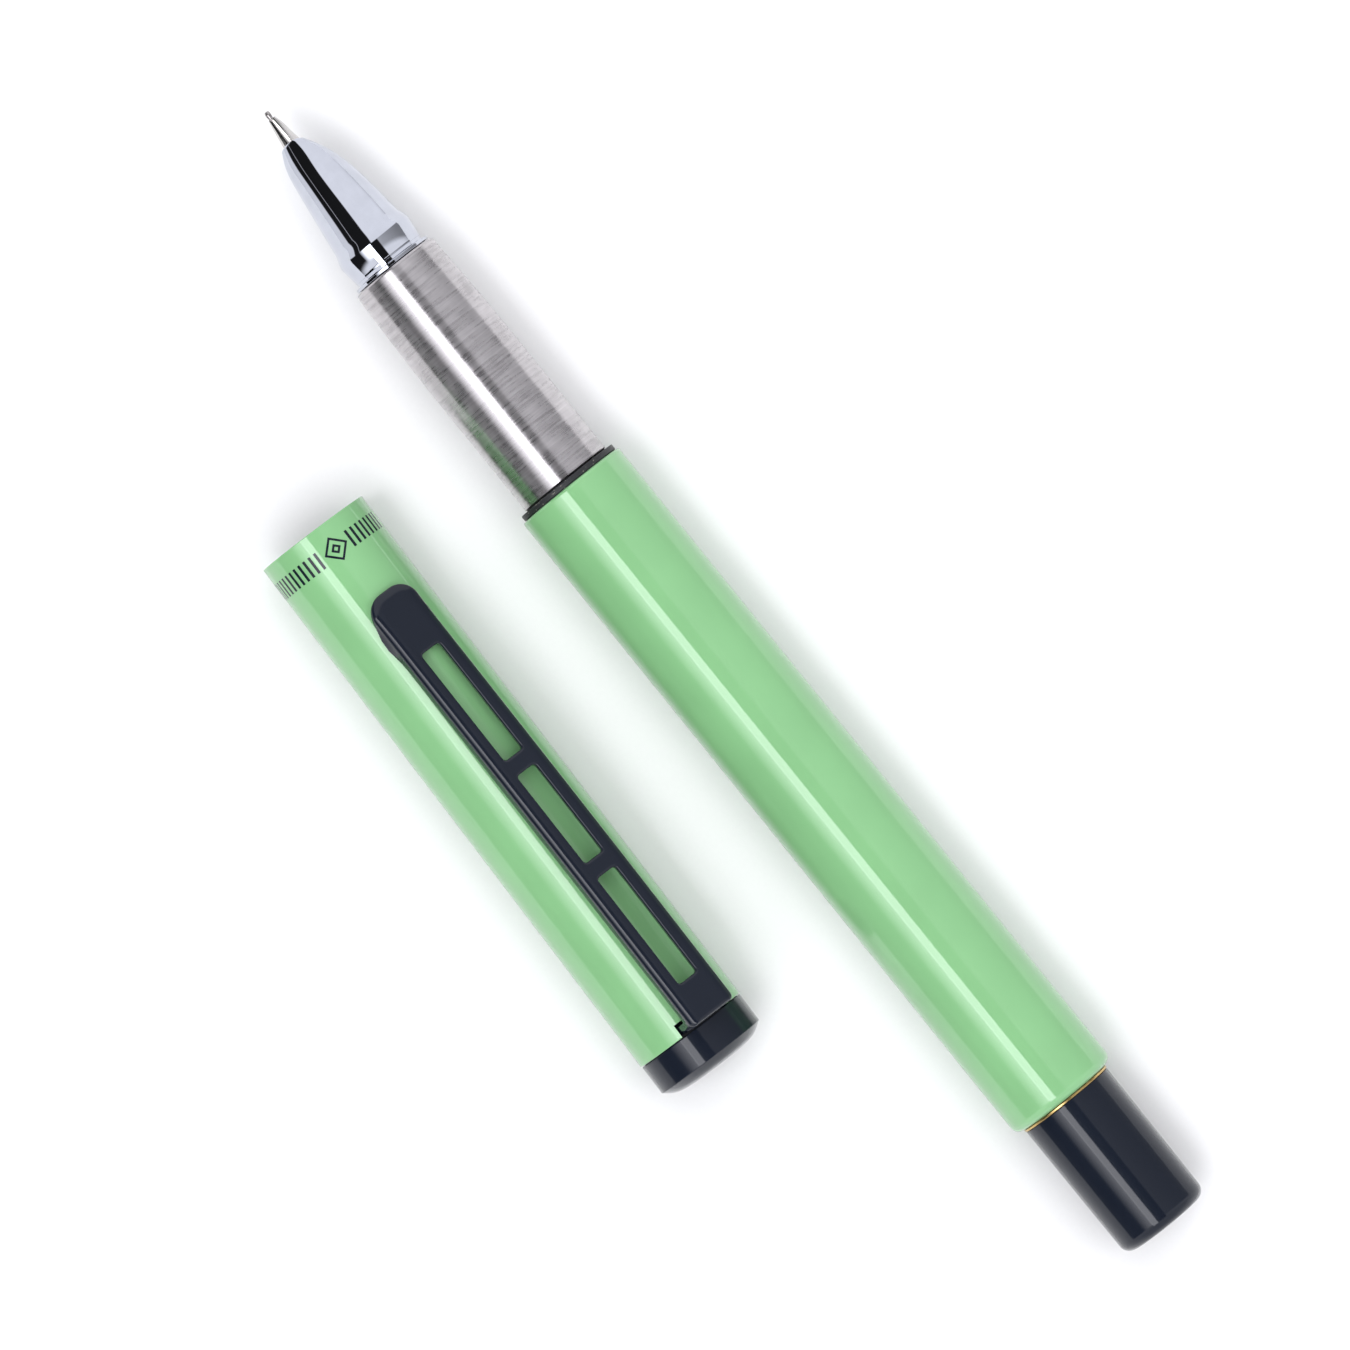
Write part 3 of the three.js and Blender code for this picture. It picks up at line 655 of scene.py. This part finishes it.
class ClipShape:
    """The clip's driving curves, in the cap's frame."""

    def __init__(self):
        points = CAP.read("clip")
        (self.front, _, self.leg), (self.root, self.half, self.top) = points.min(0), points.max(0)
        self.rows = self.make_rows()

    def back(self, along):
        """Height of the bowed back: a parabola through its front, its bend and its root."""
        a, b, c = (Vector((self.front + x, self.top + z)) for x, z in
                   (BACK_START, BACK_BEND, (self.root - self.front, 0)))
        low, high = 0.0, 1.0
        for _ in range(24):
            t = (low + high) / 2
            x = a.x * (1 - t) ** 2 + b.x * 2 * t * (1 - t) + c.x * t * t
            low, high = (t, high) if x < along else (low, t)
        return a.y * (1 - t) ** 2 + b.y * 2 * t * (1 - t) + c.y * t * t

    def belly(self, along):
        """Height of the lower edge: a curved foot, straight flanks and the root's leg."""
        if along > self.root - ROOT_THICKNESS - 0.05:
            return self.leg
        foot = self.front + FOOT_LENGTH
        if along > foot:
            rise = FLANK_RISE * (along - foot) / (self.root - 0.9 - foot)
            return self.top - FLANK_DEPTH + rise
        t = (along - self.front) / FOOT_LENGTH
        start, middle, end = (self.top - depth for depth in (NOSE_DEPTH, FOOT_DEPTH, FLANK_DEPTH))
        return start * (1 - t) ** 2 + middle * 2 * t * (1 - t) + end * t * t

    def make_rows(self):
        """Rows across the clip, each as centre, radius and angle of its plan's edge."""
        rows = [(self.front + NOSE_RADIUS, NOSE_RADIUS, math.radians(8 * n)) for n in range(12)]
        straight, last = math.radians(90), self.front + NOSE_RADIUS + 0.1
        places = [last + 0.6, last + 1.4, last + 2.4, last + 3.2]
        for a, b in WINDOWS:
            a, b = self.front + a, self.front + b
            inner = [a + 0.05, a + 0.2, a + 0.4, a + 0.8, b - 0.8, b - 0.4, b - 0.2, b - 0.05]
            steps = round((b - a - 1.6) / 0.9)
            inner += [a + 0.8 + (b - a - 1.6) * n / steps for n in range(1, steps)]
            places += [a - WINDOW_FRAME, *inner, b + WINDOW_FRAME]
        places += [self.root - 2.4, self.root - 1.6, self.root - 1.0, self.root - 0.9,
                   self.root - 0.8, self.root - 0.6]
        rows += [(x, 0.0, straight) for x in sorted(places)]
        return rows + [(self.root - ROOT_RADIUS, ROOT_RADIUS, math.radians(90 + 15 * n))
                       for n in range(7)]

    def edge(self, row, inset, thick=0.0):
        """Place in plan of the edge at a row, moved in from the outside."""
        place, radius, angle = self.rows[row]
        if not radius:
            return min(place, self.root - thick), self.half - inset
        at_root = radius == ROOT_RADIUS
        ahead = inset * ROOT_RUN / BEND_RUN if at_root else inset
        left, right = max(radius - inset, 0.02), max(radius - ahead, 0.02)
        x = place - right * math.cos(angle)
        return min(x, self.root - thick), self.half - inset - left * (1 - math.sin(angle))

    def nose(self, row):
        """1 at the very front, fading to 0 along the flanks."""
        along = self.edge(row, 0)[0] - self.front
        return 1 - swell(along, 0.3, 3.3)

    def profile(self, row):
        """The rim's section at a row: (inset, height, thickness) from the top to the inner skin."""
        nose = self.nose(row)
        run = BEND_RUN + (NOSE_RUN - BEND_RUN) * nose
        fall = BEND_FALL + (NOSE_FALL - BEND_FALL) * nose
        top = self.back(self.edge(row, run)[0])
        bottom = min(self.belly(self.edge(row, 0)[0]), top - fall - 0.06)
        section = []
        for n in range(8):
            angle = math.radians(90 * n / 7)
            section.append((run * (1 - math.sin(angle)), top - fall * (1 - math.cos(angle)), 0))
        foot = self.edge(row, 0)[0] - self.front
        flare = FOOT_FLARE * math.exp(-((foot - FOOT_MIDDLE) / 1.5) ** 2)
        for share in (0.3, 0.6, 0.85):
            height = top - fall + (bottom - top + fall) * share
            section.append((-flare * share ** 1.5, height, 0))
        section += [(-flare + 0.03, bottom + 0.02, 0), (0.1, bottom, 0.1)]
        ceiling = self.ceiling(self.edge(row, CLIP_SHEET)[0], bottom)
        thick = ROOT_THICKNESS
        section += [(CLIP_SHEET - 0.08, bottom, thick - 0.05), (CLIP_SHEET, bottom + 0.04, thick),
                    (CLIP_SHEET, ceiling - 0.08, thick), (CLIP_SHEET + 0.08, ceiling, thick + 0.08)]
        return section

    def ceiling(self, along, bottom):
        """Height of the inner skin, which closes to a solid pad at the foot."""
        pad = max(bottom + 0.13, self.top - 3.02)
        open_share = swell(along - self.front, 4.6, 6.0)
        return pad + (self.back(along) - CLIP_SHEET - pad) * open_share


def rounded(point, window, grow):
    """The nearest place to a point on a window's rounded rectangle, grown by a margin."""
    start, end = window
    reach = WINDOW_ROUND + grow
    x = min(max(point[0], start + WINDOW_ROUND), end - WINDOW_ROUND)
    y = min(max(point[1], WINDOW_ROUND - WINDOW_HALF), WINDOW_HALF - WINDOW_ROUND)
    away = Vector((point[0] - x, point[1] - y)).normalized() * reach
    return x + away.x, y + away.y


def clip():
    """A pressed channel like a long lid: a bowed top with three windows and a skirt all round."""
    shape = ClipShape()
    rows, columns = len(shape.rows), len(ACROSS)
    windows = [(shape.front + a, shape.front + b) for a, b in WINDOWS]
    profiles = [shape.profile(row) for row in range(rows)]
    vertices, faces = [], []

    def vertex(x, y, z):
        vertices.append(CAP.place((x, y, z)))
        return len(vertices) - 1

    places = {}

    def grid(level):
        """The vertices of one skin's top, whose outer columns are the rim's own."""
        skin = []
        for row in range(rows):
            inset, height, thick = profiles[row][level]
            x, y = shape.edge(row, inset, thick)
            line = []
            for share in ACROSS:
                line.append(vertex(x, share * y, height))
                places[line[-1]] = (x, share * y, height)
            skin.append(line)
        return skin

    def nearest_row(along):
        return min(range(rows), key=lambda row: abs(shape.edge(row, 0)[0] - along))

    outer, inner = grid(0), grid(-1)
    ends = [(nearest_row(a - WINDOW_FRAME), nearest_row(b + WINDOW_FRAME)) for a, b in windows]
    for skin in (outer, inner):
        for row in range(rows - 1):
            for column in range(columns - 1):
                open_here = 1 <= column < columns - 2 and any(a <= row < b for a, b in ends)
                if not open_here:
                    faces.append((skin[row][column], skin[row + 1][column],
                                  skin[row + 1][column + 1], skin[row][column + 1]))

    def join(a, b):
        for k in range(len(a)):
            m = (k + 1) % len(a)
            faces.append((a[k], a[m], b[m], b[k]))

    for window, (first, last) in zip(windows, ends):
        def border(skin):
            down = [skin[row][1] for row in range(first, last)]
            across = [skin[last][column] for column in range(1, columns - 2)]
            up = [skin[row][columns - 2] for row in range(last, first, -1)]
            home = [skin[first][column] for column in range(columns - 2, 1, -1)]
            return down + across + up + home
        upper, lower = border(outer), border(inner)
        loops = [upper]
        for n in range(7):
            angle = math.radians(15 * n)
            ring = []
            for index in upper:
                x, y = rounded(places[index], window, WINDOW_EDGE * (1 - math.sin(angle)))
                drop = 0.8 * WINDOW_EDGE * (1 - math.cos(angle))
                ring.append(vertex(x, y, shape.back(x) - drop))
            loops.append(ring)
        for grow, lift in ((0, 0.05), (0.05, 0)):
            ring = []
            for above, below in zip(upper, lower):
                x, y = rounded(places[above], window, grow)
                ring.append(vertex(x, y, places[below][2] + lift))
            loops.append(ring)
        loops.append(lower)
        for a, b in zip(loops, loops[1:]):
            join(a, b)

    rim = [(row, -1.0) for row in range(rows - 1, -1, -1)]
    rim += [(0, share) for share in ACROSS[1:-1]]
    rim += [(row, 1.0) for row in range(rows)]
    rim += [(rows - 1, share) for share in ACROSS[-2:0:-1]]
    column_of = {share: column for column, share in enumerate(ACROSS)}
    loops = [[outer[row][column_of[share]] for row, share in rim]]
    for level in range(1, len(profiles[0]) - 1):
        ring = []
        for row, share in rim:
            inset, height, thick = profiles[row][level]
            x, y = shape.edge(row, inset, thick)
            ring.append(vertex(x, share * y, height))
        loops.append(ring)
    loops.append([inner[row][column_of[share]] for row, share in rim])
    for a, b in zip(loops, loops[1:]):
        join(a, b)
    return as_object("clip", vertices, faces, 60)


def clip_bracket():
    """The clamped disc and the arm that the clip's root hooks over, with eased edges."""
    mesh = NODES["clip_bracket"].data.copy()
    mesh.materials.clear()
    piece = bpy.data.objects.new("clip_bracket", mesh)
    bpy.context.scene.collection.objects.link(piece)
    solid = bmesh.new()
    solid.from_mesh(mesh)
    bmesh.ops.remove_doubles(solid, verts=solid.verts, dist=SAME * MM / 4)
    bmesh.ops.dissolve_limit(solid, angle_limit=math.radians(1), verts=solid.verts,
                             edges=solid.edges)
    solid.to_mesh(mesh)
    solid.free()
    ease = piece.modifiers.new("ease", "BEVEL")
    ease.width = 0.06 * MM
    ease.segments = 2
    ease.limit_method = "ANGLE"
    ease.angle_limit = math.radians(40)
    smooth(piece, 40)
    return piece


# ---- The printed band: a plain scale of ticks with a small diamond, in place of any lettering ----

BAND_MIDDLE = 2.42  # mm from the cap's mouth
BAND_HEIGHTS = (0.01, -0.02)  # of the print's two faces above the cap's surface
TICK_LENGTH = 1.65
TICK_WIDTH = 0.26
TICK_STEP = 6.6  # degrees
TICKS = [-101 + TICK_STEP * n for n in range(12)] + [8 + TICK_STEP * n for n in range(8)]
DIAMOND_PLACE = -9.2  # degrees from the clip, towards the far side from the pen
DIAMOND_HALVES = (1.08, 0.36)  # half widths of its two outlines
DIAMOND_LINE = 0.2


def printed_band():
    radius = np.hypot(*CAP.read("cap_tube")[:, 1:].T).max()
    vertices, faces = [], []

    def stroke(path, width, closed=False):
        """A flat ribbon along a path of (along, arc) points, wrapped round the cap."""
        count = len(path)
        first = len(vertices)
        for k, point in enumerate(path):
            before = path[k - 1] if closed or k else point
            after = path[(k + 1) % count] if closed or k < count - 1 else point
            leave, arrive = (after - point).normalized(), (point - before).normalized()
            normal = (leave + arrive).normalized().orthogonal()
            bisect = max((leave + arrive).length / 2, 0.5) if closed or 0 < k < count - 1 else 1
            for side in (-1, 1):
                edge = point + normal * side * width / 2 / bisect
                turn = edge.y / radius
                for height in BAND_HEIGHTS:
                    r = radius + height
                    vertices.append(CAP.place((edge.x, r * math.sin(turn), r * math.cos(turn))))
        for k in range(count if closed else count - 1):
            a, b = first + 4 * k, first + 4 * ((k + 1) % count)
            faces.extend([(a, a + 2, b + 2, b), (a + 1, b + 1, b + 3, a + 3),
                          (a, b, b + 1, a + 1), (a + 2, a + 3, b + 3, b + 2)])
        if not closed:
            last = first + 4 * (count - 1)
            faces.extend([(first, first + 1, first + 3, first + 2),
                          (last, last + 2, last + 3, last + 1)])

    for degrees in TICKS:
        arc = math.radians(degrees) * radius
        stroke([Vector((BAND_MIDDLE - TICK_LENGTH / 2, arc)),
                Vector((BAND_MIDDLE + TICK_LENGTH / 2, arc))], TICK_WIDTH)
    centre = Vector((BAND_MIDDLE, math.radians(DIAMOND_PLACE) * radius))
    for half in DIAMOND_HALVES:
        corners = [Vector(c) * half for c in ((1, 0), (0, 1), (-1, 0), (0, -1))]
        path = [centre + a.lerp(b, n / 8) for a, b in zip(corners, corners[1:] + corners[:1])
                for n in range(8)]
        stroke(path, DIAMOND_LINE, True)
    band = as_object("cap_printed_band", vertices, faces)
    band.data.materials.append(material("black_lacquer"))
    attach(band, BODY["cap_tube"])


# ---- Materials ----


class Graph:
    """Short names for building a node tree."""

    def __init__(self, tree):
        self.tree = tree
        tree.nodes.clear()

    def add(self, kind, inputs=None, **settings):
        node = self.tree.nodes.new(kind)
        for key, value in settings.items():
            setattr(node, key, value)
        for key, value in (inputs or {}).items():
            if isinstance(value, bpy.types.NodeSocket):
                self.tree.links.new(value, node.inputs[key])
            else:
                node.inputs[key].default_value = value
        return node

    def math(self, operation, *values):
        inputs = dict(enumerate(values))
        return self.add("ShaderNodeMath", inputs, operation=operation).outputs[0]

    def rise(self, value, start, end, low=0.0, high=1.0, kind="SMOOTHSTEP"):
        """Goes from low to high as the value goes from start to end."""
        node = self.add("ShaderNodeMapRange", {
            "Value": value, "From Min": start, "From Max": end, "To Min": low, "To Max": high},
            interpolation_type=kind)
        return node.outputs[0]

    def millimetres(self, stretch=(1, 1, 1)):
        """Places on the piece in mm, stretched along each axis."""
        place = self.add("ShaderNodeTexCoord").outputs["Object"]
        scale = [s / MM for s in stretch]
        return self.add("ShaderNodeMapping", {"Vector": place, "Scale": scale}).outputs[0]

    def noise(self, size, stretch=(1, 1, 1), detail=3.0):
        """Cloudy values from 0 to 1, with features of a size in mm."""
        inputs = {"Vector": self.millimetres(stretch), "Scale": 1 / size, "Detail": detail}
        return self.add("ShaderNodeTexNoise", inputs).outputs["Fac"]

    def tint(self, value, low, high):
        """A colour between two, chosen by a value."""
        ramp = self.add("ShaderNodeValToRGB", {"Fac": value})
        ramp.color_ramp.elements[0].position = 0.3
        ramp.color_ramp.elements[1].position = 0.7
        ramp.color_ramp.elements[0].color = (*low, 1)
        ramp.color_ramp.elements[1].color = (*high, 1)
        return ramp.outputs[0]

    def bump(self, height, depth):
        """Surface relief, with its depth in mm."""
        return self.add("ShaderNodeBump", {
            "Height": height, "Strength": 1.0, "Distance": depth * MM}).outputs[0]

    def surface(self, inputs):
        """The tree's one shader, and its output."""
        shader = self.add("ShaderNodeBsdfPrincipled", inputs)
        output = self.add("ShaderNodeOutputMaterial")
        self.tree.links.new(shader.outputs[0], output.inputs["Surface"])


def scaled(colour, factor):
    return tuple(channel * factor for channel in colour)


def lacquer(graph, colour, coat_roughness, coat_ior, peel):
    """Sprayed colour under a clear coat with a faint orange peel."""
    cloud = graph.noise(6.0)
    graph.surface({
        "Base Color": graph.tint(cloud, scaled(colour, 0.97), scaled(colour, 1.03)),
        "Roughness": graph.rise(cloud, 0.3, 0.7, 0.42, 0.5),
        "Specular IOR Level": 0.1,
        "Coat Weight": 1.0,
        "Coat Roughness": coat_roughness,
        "Coat IOR": coat_ior,
        "Coat Normal": graph.bump(graph.noise(0.9, detail=1.0), peel),
    })


def metal(graph, colour, roughness, spread, grain, stretch=(1, 1, 1), depth=0.0):
    """A metal whose polish and relief follow one grain."""
    fine = graph.noise(grain, stretch)
    inputs = {
        "Base Color": graph.tint(fine, scaled(colour, 0.96), scaled(colour, 1.04)),
        "Metallic": 1.0,
        "Roughness": graph.rise(fine, 0.25, 0.75, roughness - spread, roughness + spread),
    }
    if depth:
        inputs["Normal"] = graph.bump(fine, depth)
    graph.surface(inputs)


def brushed(graph, colour):
    """Steel brushed round and round, with cloudy patches."""
    lines = graph.noise(0.22, (1, 0.05, 0.05), 5.0)
    cloud = graph.noise(1.5, (1, 0.7, 0.7), 4.0)
    mixed = graph.math("ADD", graph.math("MULTIPLY", lines, 0.6),
                       graph.math("MULTIPLY", cloud, 0.4))
    graph.surface({
        "Base Color": graph.tint(mixed, scaled(colour, 0.75), scaled(colour, 1.25)),
        "Metallic": 1.0,
        "Roughness": graph.rise(mixed, 0.3, 0.7, 0.24, 0.34),
        "Anisotropic": 0.8,
        "Anisotropic Rotation": 0.25,
        "Tangent": graph.add("ShaderNodeTangent", direction_type="RADIAL", axis="X").outputs[0],
        "Normal": graph.bump(lines, 0.003),
    })


def plastic(graph, colour, roughness, grain=0.25):
    """Moulded plastic with a fine matte grain."""
    fine = graph.noise(grain)
    graph.surface({
        "Base Color": graph.tint(fine, scaled(colour, 0.85), scaled(colour, 1.15)),
        "Roughness": graph.rise(fine, 0.3, 0.7, roughness - 0.06, roughness + 0.06),
        "Normal": graph.bump(fine, 0.004),
    })


def clear(graph):
    """Clear moulded plastic with faint flow marks."""
    flow = graph.noise(1.5, (0.3, 1, 1))
    graph.surface({
        "Base Color": (0.93, 0.96, 0.97, 1),
        "Roughness": graph.rise(flow, 0.3, 0.7, 0.02, 0.06),
        "IOR": 1.49,
        "Transmission Weight": 1.0,
    })


def speckled(graph):
    """Black composite with pale chips in it."""
    cells = graph.add("ShaderNodeTexVoronoi", {"Vector": graph.millimetres(), "Scale": 5.0})
    chip = graph.rise(cells.outputs["Distance"], 0.16, 0.22, 1.0, 0.0)
    some = graph.rise(graph.noise(0.5), 0.52, 0.56)
    mark = graph.math("MULTIPLY", chip, some)
    graph.surface({
        "Base Color": graph.tint(mark, (0.012, 0.013, 0.015), (0.45, 0.42, 0.36)),
        "Roughness": graph.rise(mark, 0.0, 1.0, 0.5, 0.35),
        "Normal": graph.bump(graph.noise(0.1), 0.01),
    })


GREEN = (0.207, 0.445, 0.203)
NAVY_BLACK = (0.0045, 0.0075, 0.0155)
STEEL = (0.50, 0.478, 0.487)

FINISHES = {
    "green_lacquer": lambda graph: lacquer(graph, GREEN, 0.03, 1.6, 0.0012),
    "black_lacquer": lambda graph: lacquer(graph, NAVY_BLACK, 0.08, 1.38, 0.002),
    "chrome": lambda graph: metal(graph, (0.555, 0.575, 0.635), 0.035, 0.01, 1.5),
    "brushed_steel": lambda graph: brushed(graph, STEEL),
    "nib_steel": lambda graph: metal(
        graph, (0.62, 0.60, 0.58), 0.12, 0.03, 0.05, (0.2, 1, 1), 0.001),
    "hard_metal": lambda graph: metal(graph, (0.42, 0.40, 0.39), 0.25, 0.06, 0.08, depth=0.003),
    "brass": lambda graph: metal(
        graph, (0.60, 0.42, 0.17), 0.26, 0.06, 0.05, (1, 0.05, 0.05), 0.002),
    "black_plastic": lambda graph: plastic(graph, (0.012, 0.013, 0.015), 0.45),
    "grey_plastic": lambda graph: plastic(graph, (0.16, 0.175, 0.195), 0.48),
    "clear_plastic": clear,
    "black_rubber": lambda graph: plastic(graph, (0.008, 0.008, 0.009), 0.72, 0.12),
    "speckled_black": speckled,
}


def material(slot):
    """The slot's finish. Its name differs from the slot's, which the CAD's own material has."""
    made = bpy.data.materials.get("finish_" + slot)
    if made is None:
        made = bpy.data.materials.new("finish_" + slot)
        made.use_nodes = True
        FINISHES[slot](Graph(made.node_tree))
    return made


# ---- Studio ----

FLOOR_HALF = 4.0  # metres
FLOOR_DROP = 0.00002


def floor():
    """A pale sheet that fills the view."""
    corners = [(x * FLOOR_HALF, y * FLOOR_HALF, -FLOOR_DROP)
               for x, y in ((-1, -1), (1, -1), (1, 1), (-1, 1))]
    plane = as_object("floor", corners, [(0, 1, 2, 3)])
    paper = bpy.data.materials.new("pale_paper")
    paper.use_nodes = True
    graph = Graph(paper.node_tree)
    fine = graph.noise(0.4)
    graph.surface({
        "Base Color": graph.tint(fine, (0.79, 0.79, 0.79), (0.80, 0.80, 0.80)),
        "Roughness": 0.9,
        "Specular IOR Level": 0.1,
    })
    plane.data.materials.append(paper)


def studio_sky():
    """Soft light from all round, with a long bright strip above the cap's side of the pen.

    Angles are in degrees. Across is from straight up, towards the cap's side. Along is the lean
    towards the tail. The grip and hood, the barrel and the tail each face their own stretch of it.
    """
    world = bpy.data.worlds.new("studio")
    world.use_nodes = True
    bpy.context.scene.world = world
    graph = Graph(world.node_tree)
    direction = graph.add("ShaderNodeTexCoord").outputs["Generated"]
    axes = graph.add("ShaderNodeSeparateXYZ", {"Vector": direction}).outputs
    sideways = graph.math("MULTIPLY", axes["Y"], -1.0)
    across = graph.math("DEGREES", graph.math("ARCTAN2", sideways, axes["Z"]))
    along = graph.math("DEGREES", graph.math("ARCSINE", axes["X"]))

    def band(value, low, high, soft):
        up = graph.rise(value, low - soft, low + soft)
        down = graph.rise(value, high - soft, high + soft, 1.0, 0.0)
        return graph.math("MULTIPLY", up, down)

    def total(*parts):
        value = parts[0]
        for part in parts[1:]:
            value = graph.math("ADD", value, part)
        return value

    def times(part, factor):
        return graph.math("MULTIPLY", part, factor)

    strip = times(band(across, 12.4, 27.0, 0.7), 5.7)
    spill = graph.rise(across, 25.0, 52.0, 1.0, 0.0, "LINEAR")
    spill = times(graph.math("MULTIPLY", spill, graph.rise(across, 25.0, 27.5)), 4.2)
    far_edge = graph.rise(across, -10.0, -13.0)
    far_side = graph.rise(across, -13.0, -75.0, 0.6, 0.3, "LINEAR")
    over_pen = total(strip, spill, graph.math("MULTIPLY", far_side, far_edge))
    past_pen = total(strip, times(graph.rise(across, 27.0, 28.5), 1.1), times(far_edge, 1.1))
    before_pen = total(times(graph.rise(across, 9.0, 6.0), 1.15),
                       times(band(across, 49, 51, 0.4), 0.5), graph.rise(across, 66, 70))
    level = total(graph.math("MULTIPLY", before_pen, graph.rise(along, -12, -16)),
                  graph.math("MULTIPLY", over_pen, band(along, -14, 9, 2)),
                  graph.math("MULTIPLY", past_pen, band(along, 9, 26, 2)),
                  times(graph.rise(along, 24, 28), 0.9))
    level = graph.math("ADD", level, 0.015)
    shade = graph.add("ShaderNodeBackground", {"Color": (0.98, 0.985, 1.03, 1), "Strength": level})
    output = graph.add("ShaderNodeOutputWorld")
    graph.tree.links.new(shade.outputs[0], output.inputs["Surface"])


def fill():
    """A wide overhead panel that lightens the shadows. Polished surfaces don't mirror it."""
    data = bpy.data.lights.new("fill", "AREA")
    data.shape = "DISK"
    data.size = 3.2
    data.energy = 40
    lamp = bpy.data.objects.new("fill", data)
    lamp.location = (0, -0.1, 2.3)
    lamp.visible_glossy = False
    lamp.visible_transmission = False
    lamp.visible_camera = False
    bpy.context.scene.collection.objects.link(lamp)


VIEW_TURN = math.radians(51.09)
VIEW_CENTRE = (-1.85, 7.513)  # mm
VIEW_HEIGHT = 977.0  # mm above the floor


def camera():
    data = bpy.data.cameras.new("camera")
    data.lens = 300
    data.sensor_width = 36
    data.clip_start, data.clip_end = 0.05, 20
    view = bpy.data.objects.new("camera", data)
    view.location = (VIEW_CENTRE[0] * MM, VIEW_CENTRE[1] * MM, VIEW_HEIGHT * MM)
    view.rotation_euler = (0, 0, VIEW_TURN)
    bpy.context.scene.collection.objects.link(view)
    bpy.context.scene.camera = view
    bpy.context.scene.view_settings.view_transform = "Standard"


# ---- The whole ----

TURNED_PEN = {
    "feed_collector": INNER_SIDES, "hood_ring": OUTER_SIDES, "hood_seal": INNER_SIDES,
    "grip_sleeve": OUTER_SIDES, "section_o_ring": INNER_SIDES, "joint_ring": OUTER_SIDES,
    "barrel_tube": OUTER_SIDES, "barrel_thread_bush": INNER_SIDES, "tail_trim_ring": OUTER_SIDES,
    "tail_plug": OUTER_SIDES, "tail_lock_ring": INNER_SIDES, "converter_tube": INNER_SIDES,
    "converter_collar": INNER_SIDES, "converter_end_bush": INNER_SIDES,
    "converter_spindle": INNER_SIDES, "converter_piston_rod": INNER_SIDES,
    "converter_piston_seal": INNER_SIDES,
}
EDGES = {"section_o_ring": 0.12, "hood_seal": 0.1, "grip_sleeve": 0.05, "tail_plug": 0.05,
         "converter_piston_seal": 0.08, "joint_ring": 0.06}
SHAPED = {
    "hood": hood, "nib": nib, "nib_tipping": nib_tipping, "feed": feed,
    "section_core": section_core, "converter_knob": converter_knob,
    "agitator_ball": agitator_ball, "cap_tube": cap_tube, "cap_liner": cap_liner,
    "finial": finial, "finial_screw": finial_screw, "clip": clip, "clip_bracket": clip_bracket,
}

camera()
studio_sky()
fill()
floor()
for name, side_count in TURNED_PEN.items():
    dress(turned(name, PEN, side_count, EDGES.get(name, EDGE)), name)
dress(turned("inner_cap", CAP, INNER_SIDES, 0.08), "inner_cap")
for name, make in SHAPED.items():
    dress(make(), name)
printed_band()
